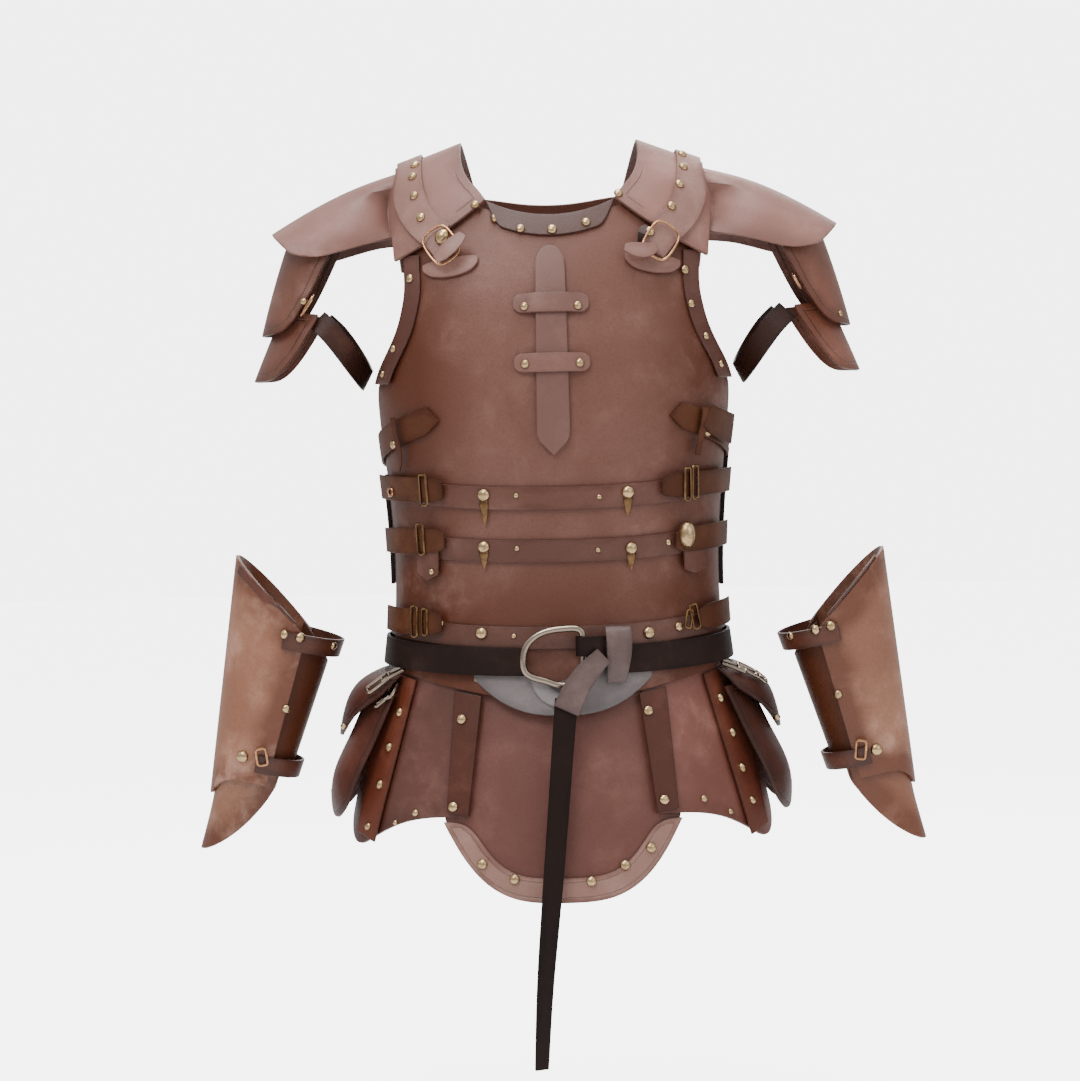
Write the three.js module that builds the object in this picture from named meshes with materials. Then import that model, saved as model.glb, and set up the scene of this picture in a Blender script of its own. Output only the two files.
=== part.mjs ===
// Leather armour in the old soldier's style: a breastplate and backplate with shoulder yokes,
// three-lame pauldrons, a ring-knotted belt, a skirt of tassets and a pair of bracers.
// Each piece is one leather sheet or strap at its real thickness, shaped as it is when worn.
// Millimetres. +Z is up, -Y is the front, +X is the wearer's left. The origin lies between
// the shoulders, at the height where the yokes rest on them.
import * as THREE from "three";

// ---------------------------------------------------------------- driving sizes
const PLATE = 3.5; // armour leather
const STRAP = 3; // strap and belt leather
const THIN = 2; // edge bindings and the belly apron
const GAP = 0.8; // a piece stands this far off the one it lies on
const ROUNDNESS = 2.4; // exponent of the torso's rounded-box sections
const SIDE_SEAM = 89.7; // degrees from the front centre to the edge of the breastplate
const ON_PLATE = PLATE + GAP;
const OVER_BINDING = ON_PLATE + THIN + GAP;
const OVER_STRAP = ON_PLATE + STRAP + GAP;

// The worn form, section by section: half of the width, and the depth before and behind the
// middle, all to the inner side of the plates.
const BODY = [
  { z: 60, half_width: 118, front: 44, back: 62 },
  { z: -30, half_width: 148, front: 62, back: 96 },
  { z: -60, half_width: 158, front: 82, back: 106 },
  { z: -100, half_width: 166, front: 103, back: 113 },
  { z: -150, half_width: 171, front: 119, back: 118 },
  { z: -228, half_width: 172, front: 127, back: 116 },
  { z: -283, half_width: 168, front: 125, back: 107 },
  { z: -323, half_width: 163, front: 121, back: 102 },
  { z: -393, half_width: 158, front: 115, back: 97 },
  { z: -443, half_width: 158.5, front: 114, back: 98 },
  { z: -483, half_width: 161, front: 116, back: 102 },
  { z: -520, half_width: 167, front: 122, back: 108 },
  { z: -560, half_width: 178, front: 132, back: 117 },
  { z: -620, half_width: 195, front: 144, back: 129 },
  { z: -680, half_width: 211, front: 154, back: 139 },
  { z: -760, half_width: 228, front: 166, back: 152 },
];

// Where the front armhole edge lies: its distance from the middle at each height.
const ARMHOLE = [
  { z: -40, x: 139 },
  { z: -116, x: 140 },
  { z: -136, x: 139 },
  { z: -155, x: 142 },
  { z: -174, x: 147 },
  { z: -192, x: 155 },
  { z: -212, x: 166 },
  { z: -228, x: 171.6 },
  { z: -240, x: 172 },
];

const NECKLINE = { centre: -69, corner: -53, corner_x: 64 };
const BINDING = { neck: 20, armhole: 15 };
const BREAST_HEM = { centre: -535, side: -506, half: 166, curve: 1.5 };
const BACK_TOP = { centre: -46, neck: -38, neck_share: 0.4, shoulder: -52 };

// The shoulder yoke from its front edge over the shoulder to its back edge: the neck side and
// the arm side of each row. Rows with no y lie on the plates, before or behind.
const YOKE = [
  { lies: "front", neck: [61, -56], arm: [145, -110] },
  { lies: "front", neck: [69, -45], arm: [147.5, -82] },
  { lies: "front", neck: [78, -32], arm: [149.5, -54] },
  { lies: "crown", neck: [86, -10], arm: [151, -27], y: [-40, -29] },
  { lies: "crown", neck: [86, 9], arm: [151.5, -15], y: [-2, 0] },
  { lies: "crown", neck: [84, 4], arm: [151, -27], y: [42, 32] },
  { lies: "back", neck: [76, -22], arm: [149.5, -54] },
  { lies: "back", neck: [69, -50], arm: [147.5, -84] },
  { lies: "back", neck: [64, -80], arm: [145, -114] },
];
const YOKE_BULGE = 4; // the front edge sags this much in the middle

// The riveted strap's middle and half of its width, as shares of the yoke's width.
const SHOULDER_STRAP = [
  { along: 0, middle: 0.54, half: 0.155 },
  { along: 0.12, middle: 0.68, half: 0.165 },
  { along: 0.25, middle: 0.735, half: 0.18 },
  { along: 0.5, middle: 0.76, half: 0.185 },
  { along: 1, middle: 0.56, half: 0.16 },
];

// The pauldron lames. Each goes from its upper to its lower edge; the middle of its arch lies
// off the axis point by rise in the direction lean, and its front and back by half_depth.
const LAMES = {
  upper: {
    from: { x: 165, z: -86, rise: 64, lean: 4, half_depth: 59 },
    to: { x: 245, z: -107, rise: 45, lean: 47, half_depth: 68 },
    arc: 90,
    cut: { from: 70, share: 0.12 },
  },
  middle: {
    from: { x: 201, z: -88, rise: 58, lean: 76, half_depth: 59 },
    to: { x: 211, z: -168, rise: 79, lean: 97, half_depth: 72 },
    arc: 80,
    cut: { from: 45, share: 0.9 },
  },
  lower: {
    from: { x: 208, z: -158, rise: 60, lean: 84, half_depth: 57 },
    to: { x: 220, z: -219, rise: 78, lean: 92, half_depth: 69 },
    arc: 72,
    cut: { from: 40, share: 0.9 },
  },
};
const LAME_SPREAD = { left: 8, right: 0 }; // how much further out each arm's lames stand

// The belt and its ring, and the skirt.
const BELT = { front: -496, side: -489.5, width: 28, ring_x: -4, ring_z: -493.5, rod: 4 };
const BANDS = {
  upper: { front: -338, side: -326 },
  middle: { front: -389, side: -379 },
  lower: { front: -473, side: -462 },
};
const BAND_WIDTH = 22;
const SKIRT_TOP = -500;
const CENTRE_TASSET = { top: 104, foot: 117, corner: -644, tip: -722, curve: 3.3, border: 23 };
const CENTRE_DROP = -(PLATE + GAP) * 2; // lies under the side tassets, and they under the hem
const SIDE_DROP = -(PLATE + GAP);
const ON_SKIRT = SIDE_DROP + PLATE + 1.7;
const INNER_STRIP = { top: 88, foot: [100, -639], widths: [26, 21], slant: 2 };
const OUTER_STRIP = { top: 150, foot: [190, -668], widths: [24, 16], slant: 6 };
const SIDE_TASSET_HEM = [
  { share: 0, z: -641 },
  { share: 0.22, z: -643 },
  { share: 0.4, z: -650 },
  { share: 0.6, z: -665 },
  { share: 0.76, z: -677 },
  { share: 0.88, z: -671 },
  { share: 1, z: -655 },
];

// The bracers: an axis from the wrist to the elbow, leaning in towards the body.
const FOREARMS = {
  left: { wrist: [314, -625], lean: 13 },
  right: { wrist: [311, -621], lean: 13.8 },
};
const FOREARM_SIZE = [
  { along: -80, half_width: 37, half_depth: 33 },
  { along: -20, half_width: 35, half_depth: 31 },
  { along: 0, half_width: 37, half_depth: 33 },
  { along: 155, half_width: 53.5, half_depth: 47 },
  { along: 225, half_width: 61, half_depth: 54 },
];
const BRACER = { half_arc: 116, top: 220, top_slope: 43, foot: 3, foot_drop: 23 };

// ---------------------------------------------------------------- small tools
const rad = THREE.MathUtils.degToRad;
const lerp = THREE.MathUtils.lerp;
const smooth = (x) => THREE.MathUtils.smoothstep(x, 0, 1);
const power = (x, p) => Math.sign(x) * Math.abs(x) ** p;
const point = (x, y, z) => new THREE.Vector3(x, y, z);

// Reads a table row by row, as a smooth curve through one of its columns.
function read(table, key, column, at) {
  const rising = table[0][key] < table[table.length - 1][key];
  const rows = rising ? table : [...table].reverse();
  const last = rows.length - 1;
  if (at <= rows[0][key]) return rows[0][column];
  if (at >= rows[last][key]) return rows[last][column];
  const i = rows.findIndex((row) => row[key] > at) - 1;
  const slope = (k) => {
    const a = rows[Math.max(k - 1, 0)];
    const b = rows[Math.min(k + 1, last)];
    return (b[column] - a[column]) / (b[key] - a[key]);
  };
  const span = rows[i + 1][key] - rows[i][key];
  const t = (at - rows[i][key]) / span;
  const t2 = t * t;
  const t3 = t2 * t;
  return (
    (2 * t3 - 3 * t2 + 1) * rows[i][column] +
    (t3 - 2 * t2 + t) * span * slope(i) +
    (3 * t2 - 2 * t3) * rows[i + 1][column] +
    (t3 - t2) * span * slope(i + 1)
  );
}

// A surface's point, moved out along its normal.
function lifted(surface, u, v, lift, step_u, step_v) {
  const across = surface(u + step_u, v).sub(surface(u - step_u, v));
  const along = surface(u, v + step_v).sub(surface(u, v - step_v));
  return surface(u, v).addScaledVector(across.cross(along).normalize(), lift);
}

// ---------------------------------------------------------------- closed solids from grids
// Joins rings of points into one closed solid. skin(i, j) gives the outer and inner point of
// each grid place; around closes the grid's first direction on itself.
function wall(columns, rows, skin, around = false) {
  const across = around ? columns : columns + 1;
  const positions = [];
  for (const side of [0, 1])
    for (let j = 0; j <= rows; j++)
      for (let i = 0; i < across; i++) {
        const both = skin(i / columns, j / rows);
        positions.push(...both[side].toArray());
      }
  const at = (side, i, j) => side * across * (rows + 1) + j * across + (i % across);
  const faces = [];
  const quad = (a, b, c, d) => faces.push(a, b, c, a, c, d);
  for (let j = 0; j < rows; j++)
    for (let i = 0; i < columns; i++) {
      quad(at(0, i, j), at(0, i + 1, j), at(0, i + 1, j + 1), at(0, i, j + 1));
      quad(at(1, i, j), at(1, i, j + 1), at(1, i + 1, j + 1), at(1, i + 1, j));
    }
  for (let i = 0; i < columns; i++) {
    quad(at(0, i, 0), at(1, i, 0), at(1, i + 1, 0), at(0, i + 1, 0));
    quad(at(0, i, rows), at(0, i + 1, rows), at(1, i + 1, rows), at(1, i, rows));
  }
  if (!around)
    for (let j = 0; j < rows; j++) {
      quad(at(0, 0, j), at(0, 0, j + 1), at(1, 0, j + 1), at(1, 0, j));
      quad(at(0, columns, j), at(1, columns, j), at(1, columns, j + 1), at(0, columns, j + 1));
    }
  return solid(positions, faces);
}

// A rod bent into a closed ring through its points.
function ringOf(points, radius, steps, sides, normal) {
  const line = new THREE.CatmullRomCurve3(points, true);
  const positions = [];
  for (let i = 0; i < steps; i++) {
    const out = line.getTangent(i / steps).cross(normal).normalize();
    for (let k = 0; k < sides; k++) {
      const turn = (2 * Math.PI * k) / sides;
      const p = line
        .getPoint(i / steps)
        .addScaledVector(out, radius * Math.cos(turn))
        .addScaledVector(normal, radius * Math.sin(turn));
      positions.push(...p.toArray());
    }
  }
  const at = (i, k) => (i % steps) * sides + (k % sides);
  const faces = [];
  for (let i = 0; i < steps; i++)
    for (let k = 0; k < sides; k++)
      faces.push(
        ...[at(i, k), at(i + 1, k), at(i + 1, k + 1)],
        ...[at(i, k), at(i + 1, k + 1), at(i, k + 1)],
      );
  return solid(positions, faces);
}

// The geometry of these faces, turned round if they point inwards.
function solid(positions, faces) {
  let volume = 0;
  const corner = (k) => new THREE.Vector3().fromArray(positions, 3 * faces[k]);
  for (let k = 0; k < faces.length; k += 3)
    volume += corner(k).dot(corner(k + 1).cross(corner(k + 2)));
  if (volume < 0)
    for (let k = 0; k < faces.length; k += 3)
      [faces[k + 1], faces[k + 2]] = [faces[k + 2], faces[k + 1]];
  return new THREE.BufferGeometry()
    .setAttribute("position", new THREE.Float32BufferAttribute(positions, 3))
    .setIndex(faces);
}

// ---------------------------------------------------------------- the torso and what lies on it
// A point of the worn form. The angle is in radians from the front centre, towards +X.
function body(angle, z) {
  const half = read(BODY, "z", "half_width", z);
  const depth = read(BODY, "z", Math.cos(angle) > 0 ? "front" : "back", z);
  const p = 2 / ROUNDNESS;
  return point(half * power(Math.sin(angle), p), -depth * power(Math.cos(angle), p), z);
}
const onBody = (angle, z, lift) => lifted(body, angle, z, lift, 0.004, 1);

// The angle at which the form is x from the middle, before and behind.
function angleOf(x, z) {
  const share = Math.min(1, Math.abs(x) / read(BODY, "z", "half_width", z));
  return Math.sign(x) * Math.asin(share ** (ROUNDNESS / 2));
}
const onFront = (x, z, lift) => onBody(angleOf(x, z), z, lift);
const onBack = (x, z, lift) => onBody(Math.PI - angleOf(x, z), z, lift);

// A sheet on the form: outline(s, t) gives its [angle, z], and lift the height of its inner side.
function sheetOnBody(columns, rows, outline, lift, thickness, around = false) {
  const raise = typeof lift === "function" ? lift : () => lift;
  return wall(
    columns,
    rows,
    (s, t) => {
      const [angle, z] = outline(s, t);
      const low = raise(angle, z);
      return [onBody(angle, z, low + thickness), onBody(angle, z, low)];
    },
    around,
  );
}

// A sheet on the form's front, with its outline in x and z.
function sheetOnFront(columns, rows, outline, lift, thickness) {
  const inAngles = (s, t) => {
    const [x, z] = outline(s, t);
    return [angleOf(x, z), z];
  };
  return sheetOnBody(columns, rows, inAngles, lift, thickness);
}

// A flat strap on the front between two ends, with its width at each end and a pointed tip.
function strapOnFront(rows, from, to, widths, tip, lift, thickness) {
  const length = Math.hypot(to[0] - from[0], to[1] - from[1]);
  const along = [(to[0] - from[0]) / length, (to[1] - from[1]) / length];
  const outline = (s, t) => {
    const side = (s * 2 - 1) * lerp(widths[0], widths[1], t) * 0.5;
    const reach = length * t + tip * (1 - Math.abs(s * 2 - 1)) * smooth(t * 3 - 2);
    return [
      from[0] + along[0] * reach - along[1] * side,
      from[1] + along[1] * reach + along[0] * side,
    ];
  };
  return sheetOnFront(2, rows, outline, lift, thickness);
}

const necklineAt = (x) =>
  lerp(NECKLINE.centre, NECKLINE.corner, Math.min(1, Math.abs(x) / NECKLINE.corner_x) ** 2);

// The height of the breastplate's lower edge.
function hemAt(x) {
  const share = Math.min(1, Math.abs(x) / BREAST_HEM.half);
  return lerp(BREAST_HEM.centre, BREAST_HEM.side, share ** BREAST_HEM.curve);
}

// The angle from the middle to the side edge, which is the armhole and below it the side seam.
function plateEdge(z) {
  return Math.min(rad(SIDE_SEAM), angleOf(read(ARMHOLE, "z", "x", z), z));
}

function breastplate() {
  const outline = (s, t) => {
    const side = s * 2 - 1;
    const low = hemAt(body(side * rad(SIDE_SEAM), BREAST_HEM.centre).x);
    const z = lerp(low, necklineAt(side * ARMHOLE[0].x), t);
    return [side * plateEdge(z), z];
  };
  return sheetOnBody(20, 18, outline, 0, PLATE);
}

// The height of the backplate's upper edge: hollowed between the yokes, and falling to the arms.
function backTopAt(side) {
  const { centre, neck, neck_share, shoulder } = BACK_TOP;
  if (side < neck_share) return lerp(centre, neck, smooth(side / neck_share));
  return lerp(neck, shoulder, smooth((side - neck_share) / (1 - neck_share)));
}

function backplate() {
  const outline = (s, t) => {
    const side = s * 2 - 1;
    const z = lerp(BREAST_HEM.side, backTopAt(Math.abs(side)), t);
    return [Math.PI + side * plateEdge(z), z];
  };
  return sheetOnBody(18, 16, outline, 0, PLATE);
}

function neckBinding() {
  const reach = NECKLINE.corner_x - 2;
  const slant = 12;
  const outline = (s, t) => {
    const x = (s * 2 - 1) * (reach - slant * (1 - t));
    return [x, necklineAt(x) - 0.5 - BINDING.neck * (1 - t)];
  };
  return sheetOnFront(12, 2, outline, ON_PLATE, THIN);
}

function armholeBinding() {
  const top = -104;
  const foot = -226;
  const outline = (s, t) => {
    const z = lerp(foot, top, t);
    const edge = read(ARMHOLE, "z", "x", z) - 0.5;
    return [edge - BINDING.armhole * (1 - s), z];
  };
  return sheetOnFront(2, 10, outline, ON_PLATE, THIN);
}

// ---------------------------------------------------------------- shoulder yokes
// The yoke's under side. u runs from the neck to the arm, v from the front edge to the back.
function yoke(u, v) {
  const places = YOKE.map((row, k) => {
    const x = lerp(row.neck[0], row.arm[0], u);
    const z = lerp(row.neck[1], row.arm[1], u);
    const sag = k === 0 ? YOKE_BULGE * Math.sin(Math.PI * u) : 0;
    if (row.lies === "front") return onFront(x, z - sag, OVER_BINDING);
    if (row.lies === "back") return onBack(x, z, OVER_BINDING);
    return point(x, lerp(row.y[0], row.y[1], u), z);
  });
  return new THREE.CatmullRomCurve3(places).getPoint(THREE.MathUtils.clamp(v, 0, 1));
}
const onYoke = (u, v, lift) => {
  const inside = THREE.MathUtils.clamp(v, 0.002, 0.998);
  return lifted(yoke, u, inside, lift, 0.01, 0.002).add(yoke(u, v)).sub(yoke(u, inside));
};
const YOKE_ROWS = 20;

function yokeSheet() {
  return wall(6, YOKE_ROWS, (s, t) => [onYoke(s, t, PLATE), onYoke(s, t, 0)]);
}

// The riveted strap down the arm side of the yoke. Its end hangs over the yoke's front edge.
function shoulderStrap() {
  const hang = 4;
  const rows = YOKE_ROWS - 1;
  const start = yoke(SHOULDER_STRAP[0].middle, 0);
  const place = (s, row, lift) => {
    const side = s * 2 - 1;
    if (row >= 0) {
      const along = row / YOKE_ROWS;
      const middle = read(SHOULDER_STRAP, "along", "middle", along);
      const half = read(SHOULDER_STRAP, "along", "half", along);
      return onYoke(middle + side * half, along, lift);
    }
    const down = (-row / hang) * 26;
    const x = start.x - 0.58 * down + side * 12.5 * 0.81;
    const z = start.z - 0.81 * down - side * 12.5 * 0.58;
    return onFront(x, z, OVER_BINDING + lift - 0.13 * down);
  };
  return wall(2, rows + hang, (s, t) => {
    const row = t * (rows + hang) - hang;
    return [place(s, row, ON_PLATE + STRAP), place(s, row, ON_PLATE)];
  });
}

const BUCKLE = { x: 100, z: -100, half: [19, 15], rod: 1.6, lifts: [18, 14.4], turn: -54 };

// A point beside the buckle's middle, in the plane that touches the chest there.
function besideBuckle(along, across) {
  const out = onFront(BUCKLE.x, BUCKLE.z, 1).sub(onFront(BUCKLE.x, BUCKLE.z, 0));
  const turn = rad(BUCKLE.turn);
  const flat = point(-Math.cos(turn), 0, Math.sin(turn)).projectOnPlane(out).normalize();
  const side = new THREE.Vector3().crossVectors(out, flat).normalize();
  const share = along / BUCKLE.half[0] / 2 + 0.5;
  return onFront(BUCKLE.x, BUCKLE.z, lerp(BUCKLE.lifts[0], BUCKLE.lifts[1], share))
    .addScaledVector(flat, along)
    .addScaledVector(side, across);
}

function shoulderBuckle() {
  const out = onFront(BUCKLE.x, BUCKLE.z, 1).sub(onFront(BUCKLE.x, BUCKLE.z, 0)).normalize();
  const corners = [];
  for (let k = 0; k < 16; k++) {
    const turn = (2 * Math.PI * k) / 16;
    const along = BUCKLE.half[0] * power(Math.cos(turn), 0.6);
    const across = BUCKLE.half[1] * power(Math.sin(turn), 0.6);
    corners.push(besideBuckle(along, across));
  }
  return ringOf(corners, BUCKLE.rod, 16, 6, out);
}

// The boat-shaped tab on the chest, below the buckle.
function shoulderTab() {
  const ends = [point(121, 0, -118), point(69, 0, -111)];
  const outline = (s, t) => {
    const bow = Math.sqrt(1 - (s * 2 - 1) ** 2);
    const middle = ends[0].clone().lerp(ends[1], s);
    return [middle.x, middle.z + lerp(-3 - 9 * bow, 3 + 3 * bow, t)];
  };
  return sheetOnFront(8, 2, outline, ON_PLATE, STRAP);
}

// ---------------------------------------------------------------- chest and waist
const TONGUE = { x: -1.5, top: -99, foot: -281, tip: 16, widths: [28, 32] };

function chestTongue() {
  const outline = (s, t) => {
    const side = s * 2 - 1;
    const width = lerp(TONGUE.widths[0], TONGUE.widths[1], t);
    const round = 13 * (1 - Math.sqrt(1 - 0.96 * side * side));
    const top = TONGUE.top - round;
    const foot = TONGUE.foot - TONGUE.tip * (1 - Math.abs(side));
    return [TONGUE.x + (side * width) / 2, lerp(top, foot, t)];
  };
  return sheetOnFront(4, 10, outline, ON_PLATE, STRAP);
}

function chestKeeper(middle) {
  const half = 36;
  const outline = (s, t) => {
    const side = s * 2 - 1;
    const height = side ** 2 > 0.99 ? 9 : 18;
    return [TONGUE.x + side * half, middle + (t - 0.5) * height];
  };
  const lift = (angle, z) => {
    const x = body(angle, z).x - TONGUE.x;
    return lerp(OVER_STRAP, ON_PLATE, smooth((Math.abs(x) - 17.5) / 7));
  };
  return sheetOnBody(
    14,
    2,
    (s, t) => {
      const [x, z] = outline(s, t);
      return [angleOf(x, z), z];
    },
    lift,
    STRAP - 0.5,
  );
}

function waistBand({ front, side }) {
  const outline = (s, t) => {
    const angle = s * 2 * Math.PI;
    const forward = Math.max(0, Math.cos(angle)) ** 2;
    return [angle, lerp(side, front, forward) + (t - 0.5) * BAND_WIDTH];
  };
  return sheetOnBody(40, 1, outline, ON_PLATE, STRAP, true);
}

// The pointed end of the strap that comes round from the back below the armhole.
function sideStrap() {
  const outline = (s, t) => {
    const side = s * 2 - 1;
    const inner = angleOf(108 + 12 * Math.abs(side), -262);
    return [lerp(rad(104), inner, t), lerp(-297, -262, t ** 1.2) + side * 13];
  };
  return sheetOnBody(2, 9, outline, ON_PLATE, STRAP);
}

// The tab hanging from the middle band's buckle.
function bandTab(side) {
  const x = { left: 125, right: 118 }[side];
  return strapOnFront(5, [x, -374], [x + 2, -410], [18, 20], 7, OVER_STRAP, STRAP - 0.5);
}

// ---------------------------------------------------------------- belt
const BELT_LIFT = OVER_STRAP;
const beltAt = (angle) => lerp(BELT.side, BELT.front, Math.max(0, Math.cos(angle)) ** 2);

// The belt's end under the loop, over the ring, round its rod and back to the belt: the
// distance from the middle, the height, the lift of the fold's inner face and the width.
const BELT_FOLD = [
  { x: 50, z: -480.5, lift: 12.7, width: 18 },
  { x: 43.5, z: -480, lift: 13.8, width: 19 },
  { x: 38.5, z: -479.5, lift: 18, width: 19 },
  { x: 33, z: -479.5, lift: 23, width: 19 },
  { x: 26, z: -479.5, lift: 24.4, width: 19 },
  { x: 19.6, z: -479.5, lift: 23, width: 19 },
  { x: 17.2, z: -479.5, lift: 18, width: 19 },
  { x: 18.6, z: -479.5, lift: 13.2, width: 19 },
  { x: 24, z: -481, lift: 11.6, width: 21 },
  { x: 34, z: -486, lift: 11.6, width: 25 },
  { x: 46, z: -491, lift: 12.5, width: 26 },
];
const BELT_STEPS = 42;

function belt() {
  const from = angleOf(58, BELT.front);
  const to = 2 * Math.PI + angleOf(-31, BELT.front);
  const steps = BELT_FOLD.length + BELT_STEPS;
  const surface = (step, across) => {
    const row = BELT_FOLD[step];
    if (row) return onFront(row.x, BELT.ring_z, row.lift).setZ(row.z + across * row.width);
    const angle = lerp(from, to, (step - BELT_FOLD.length) / BELT_STEPS);
    return onBody(angle, beltAt(angle) + across * BELT.width, BELT_LIFT + PLATE);
  };
  return wall(1, steps, (s, t) => {
    const step = Math.round(t * steps);
    const across = 0.5 - s;
    const ahead = surface(Math.min(step + 1, steps), across);
    const along = ahead.sub(surface(Math.max(step - 1, 0), across));
    const out = along.cross(point(0, 0, -1)).normalize();
    const low = surface(step, across);
    return [low.clone().addScaledVector(out, PLATE), low];
  });
}

// The ring is D-shaped: it is round at the left and its upright bar is in the belt's fold.
const RING_OUTLINE = [
  [-31, 0], [-29.3, 9.5], [-23.5, 18], [-14.5, 24.2], [-3, 27.4], [9, 28.4], [19, 28.6], [25.2, 26.2],
  [26.6, 18], [26.6, 6], [25.8, -6], [22.5, -17], [14, -24.5], [3, -25.8], [-8, -21.6], [-19, -18.6],
  [-27.6, -14.5], [-30.6, -7.5],
];

function beltRing() {
  const lift = BELT_LIFT + PLATE + BELT.rod + GAP * 3;
  const middle = onFront(BELT.ring_x, BELT.ring_z, lift);
  const points = RING_OUTLINE.map(([x, z]) => point(middle.x + x, middle.y, middle.z + z));
  return ringOf(points, BELT.rod, 36, 6, point(0, -1, 0));
}

// A strap that follows a row of points, each with the direction that its face looks.
function strapAlong(places, width, thickness, steps) {
  const line = new THREE.CatmullRomCurve3(places.map((p) => point(...p.at)));
  const looks = new THREE.CatmullRomCurve3(places.map((p) => point(...p.looks)));
  const widths = places.map((place, k) => ({ k, wide: place.width ?? width }));
  const wide = (t) => read(widths, "k", "wide", t * (places.length - 1));
  return wall(1, steps, (s, t) => {
    const tangent = line.getTangent(t);
    const out = looks.getPoint(t).projectOnPlane(tangent).normalize();
    const side = new THREE.Vector3().crossVectors(tangent, out);
    const low = line.getPoint(t).addScaledVector(side, (s - 0.5) * wide(t));
    return [low.clone().addScaledVector(out, thickness), low];
  });
}

// The belt's loop stands over the belt beside the ring.
const KNOT_X = 53.5;
function beltLoop() {
  const face = BELT_LIFT + PLATE + GAP;
  const middle = onFront(KNOT_X, BELT.front, 0);
  const out = onFront(KNOT_X, BELT.front, 1).sub(middle);
  const top = BELT.front + BELT.width / 2;
  const foot = BELT.front - BELT.width / 2;
  const at = (lift, z, aside = 0) =>
    middle.clone().addScaledVector(out, lift).add(point(aside, 0, 0)).setZ(z).toArray();
  const look = (z) => [out.x, out.y, z];
  const places = [
    { at: at(face + 1, top + 18.5), looks: look(3), width: 25 },
    { at: at(face + 6, top + 15), looks: look(1), width: 25 },
    { at: at(face + 8.5, top), looks: look(0.1), width: 25 },
    { at: at(face + 8, foot + 12, -1), looks: look(0), width: 22 },
    { at: at(face + 6, foot + 3, -2), looks: look(-0.3), width: 20 },
    { at: at(face + 1.5, foot - 5, -2), looks: look(-2), width: 19 },
  ];
  return strapAlong(places, 25, STRAP, 12);
}

// The flap leaves the loop on the slant, and the belt's end hangs down from under it.
function beltFlap() {
  const places = [
    { at: [41.5, -144, -488], looks: [0.45, -1, 0.25], width: 18 },
    { at: [33, -146.5, -496], looks: [0.35, -1, 0.3], width: 20 },
    { at: [23.5, -148.5, -506], looks: [0.2, -1, 0.25], width: 23 },
    { at: [14.5, -150.5, -519.5], looks: [0, -1, 0.15], width: 25 },
    { at: [5.1, -153, -539.5], looks: [-0.1, -1, 0.1], width: 26 },
  ];
  return strapAlong(places, 28, STRAP, 8);
}

function beltTail() {
  const places = [
    { at: [5.5, -147, -528], looks: [0, -1, 0], width: 22 },
    { at: [0.5, -152, -580], looks: [0.05, -1, 0], width: 21 },
    { at: [-6, -162, -650], looks: [0.1, -1, 0], width: 20 },
    { at: [-13, -171, -720], looks: [0.2, -1, 0], width: 19 },
    { at: [-21, -173, -800], looks: [0.45, -1, 0], width: 17 },
    { at: [-26, -172, -878], looks: [0.7, -1, 0], width: 15 },
  ];
  return strapAlong(places, 21, STRAP, 14);
}

// The soft grey apron that shows below the belt.
function bellyApron() {
  const half = 84;
  const outline = (s, t) => {
    const x = (s * 2 - 1) * half;
    const low = -547.5 + 35 * (Math.abs(x) / half) ** 2.7;
    const top = -503 - 14 * Math.exp(-(((x + 10) / 24) ** 2));
    return [x + 3, lerp(low, top, t)];
  };
  return sheetOnFront(14, 3, outline, ON_PLATE, THIN);
}

// ---------------------------------------------------------------- skirt
// The centre tasset's lower edge.
const tassetFoot = (x) =>
  lerp(
    CENTRE_TASSET.tip,
    CENTRE_TASSET.corner,
    Math.min(1, Math.abs(x) / CENTRE_TASSET.foot) ** CENTRE_TASSET.curve,
  );

function centreTasset() {
  const outline = (s, t) => {
    const side = 1 - 2 * s;
    const x = side * lerp(CENTRE_TASSET.top, CENTRE_TASSET.foot, Math.min(1, t * 1.1));
    return [x, lerp(SKIRT_TOP, tassetFoot(side * CENTRE_TASSET.foot), t)];
  };
  return sheetOnFront(16, 8, outline, CENTRE_DROP, PLATE);
}

// The riveted border round the centre tasset's foot.
function tassetBorder() {
  const half = CENTRE_TASSET.foot - 0.5;
  const outline = (s, t) => {
    const x = (s * 2 - 1) * half;
    const slope = (tassetFoot(x + 1) - tassetFoot(x - 1)) / 2;
    const size = Math.hypot(1, slope);
    const inward = CENTRE_TASSET.border * t + 0.5;
    const z = tassetFoot(x) + inward / size;
    return [x - (slope / size) * inward, Math.min(z, CENTRE_TASSET.corner - 2)];
  };
  return sheetOnFront(20, 1, outline, CENTRE_DROP + ON_PLATE, STRAP - 1);
}

const sideInner = (z) => lerp(78, 91, (z + 520) / -125);

// How far the skirt stands off the hips below the belt, between two angles from the front.
const SKIRT_FLARE = { most: 13, from: 62, full: 84, start: -519, ramp: 55, foot: -665 };
function skirtFlare(angle, z) {
  const { most, from, full, start, ramp, foot } = SKIRT_FLARE;
  const round = smooth((angle - rad(from)) / rad(full - from));
  const below = smooth((start - z) / ramp);
  return most * round * below * lerp(1, 0.2, (z - start + ramp / 2) / (foot - start));
}

function sideTasset() {
  const outline = (s, t) => {
    const z = lerp(SKIRT_TOP, read(SIDE_TASSET_HEM, "share", "z", s), t);
    return [lerp(angleOf(sideInner(z), z), rad(86), s), z];
  };
  return sheetOnBody(12, 8, outline, (angle, z) => SIDE_DROP + skirtFlare(angle, z), PLATE);
}

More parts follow.
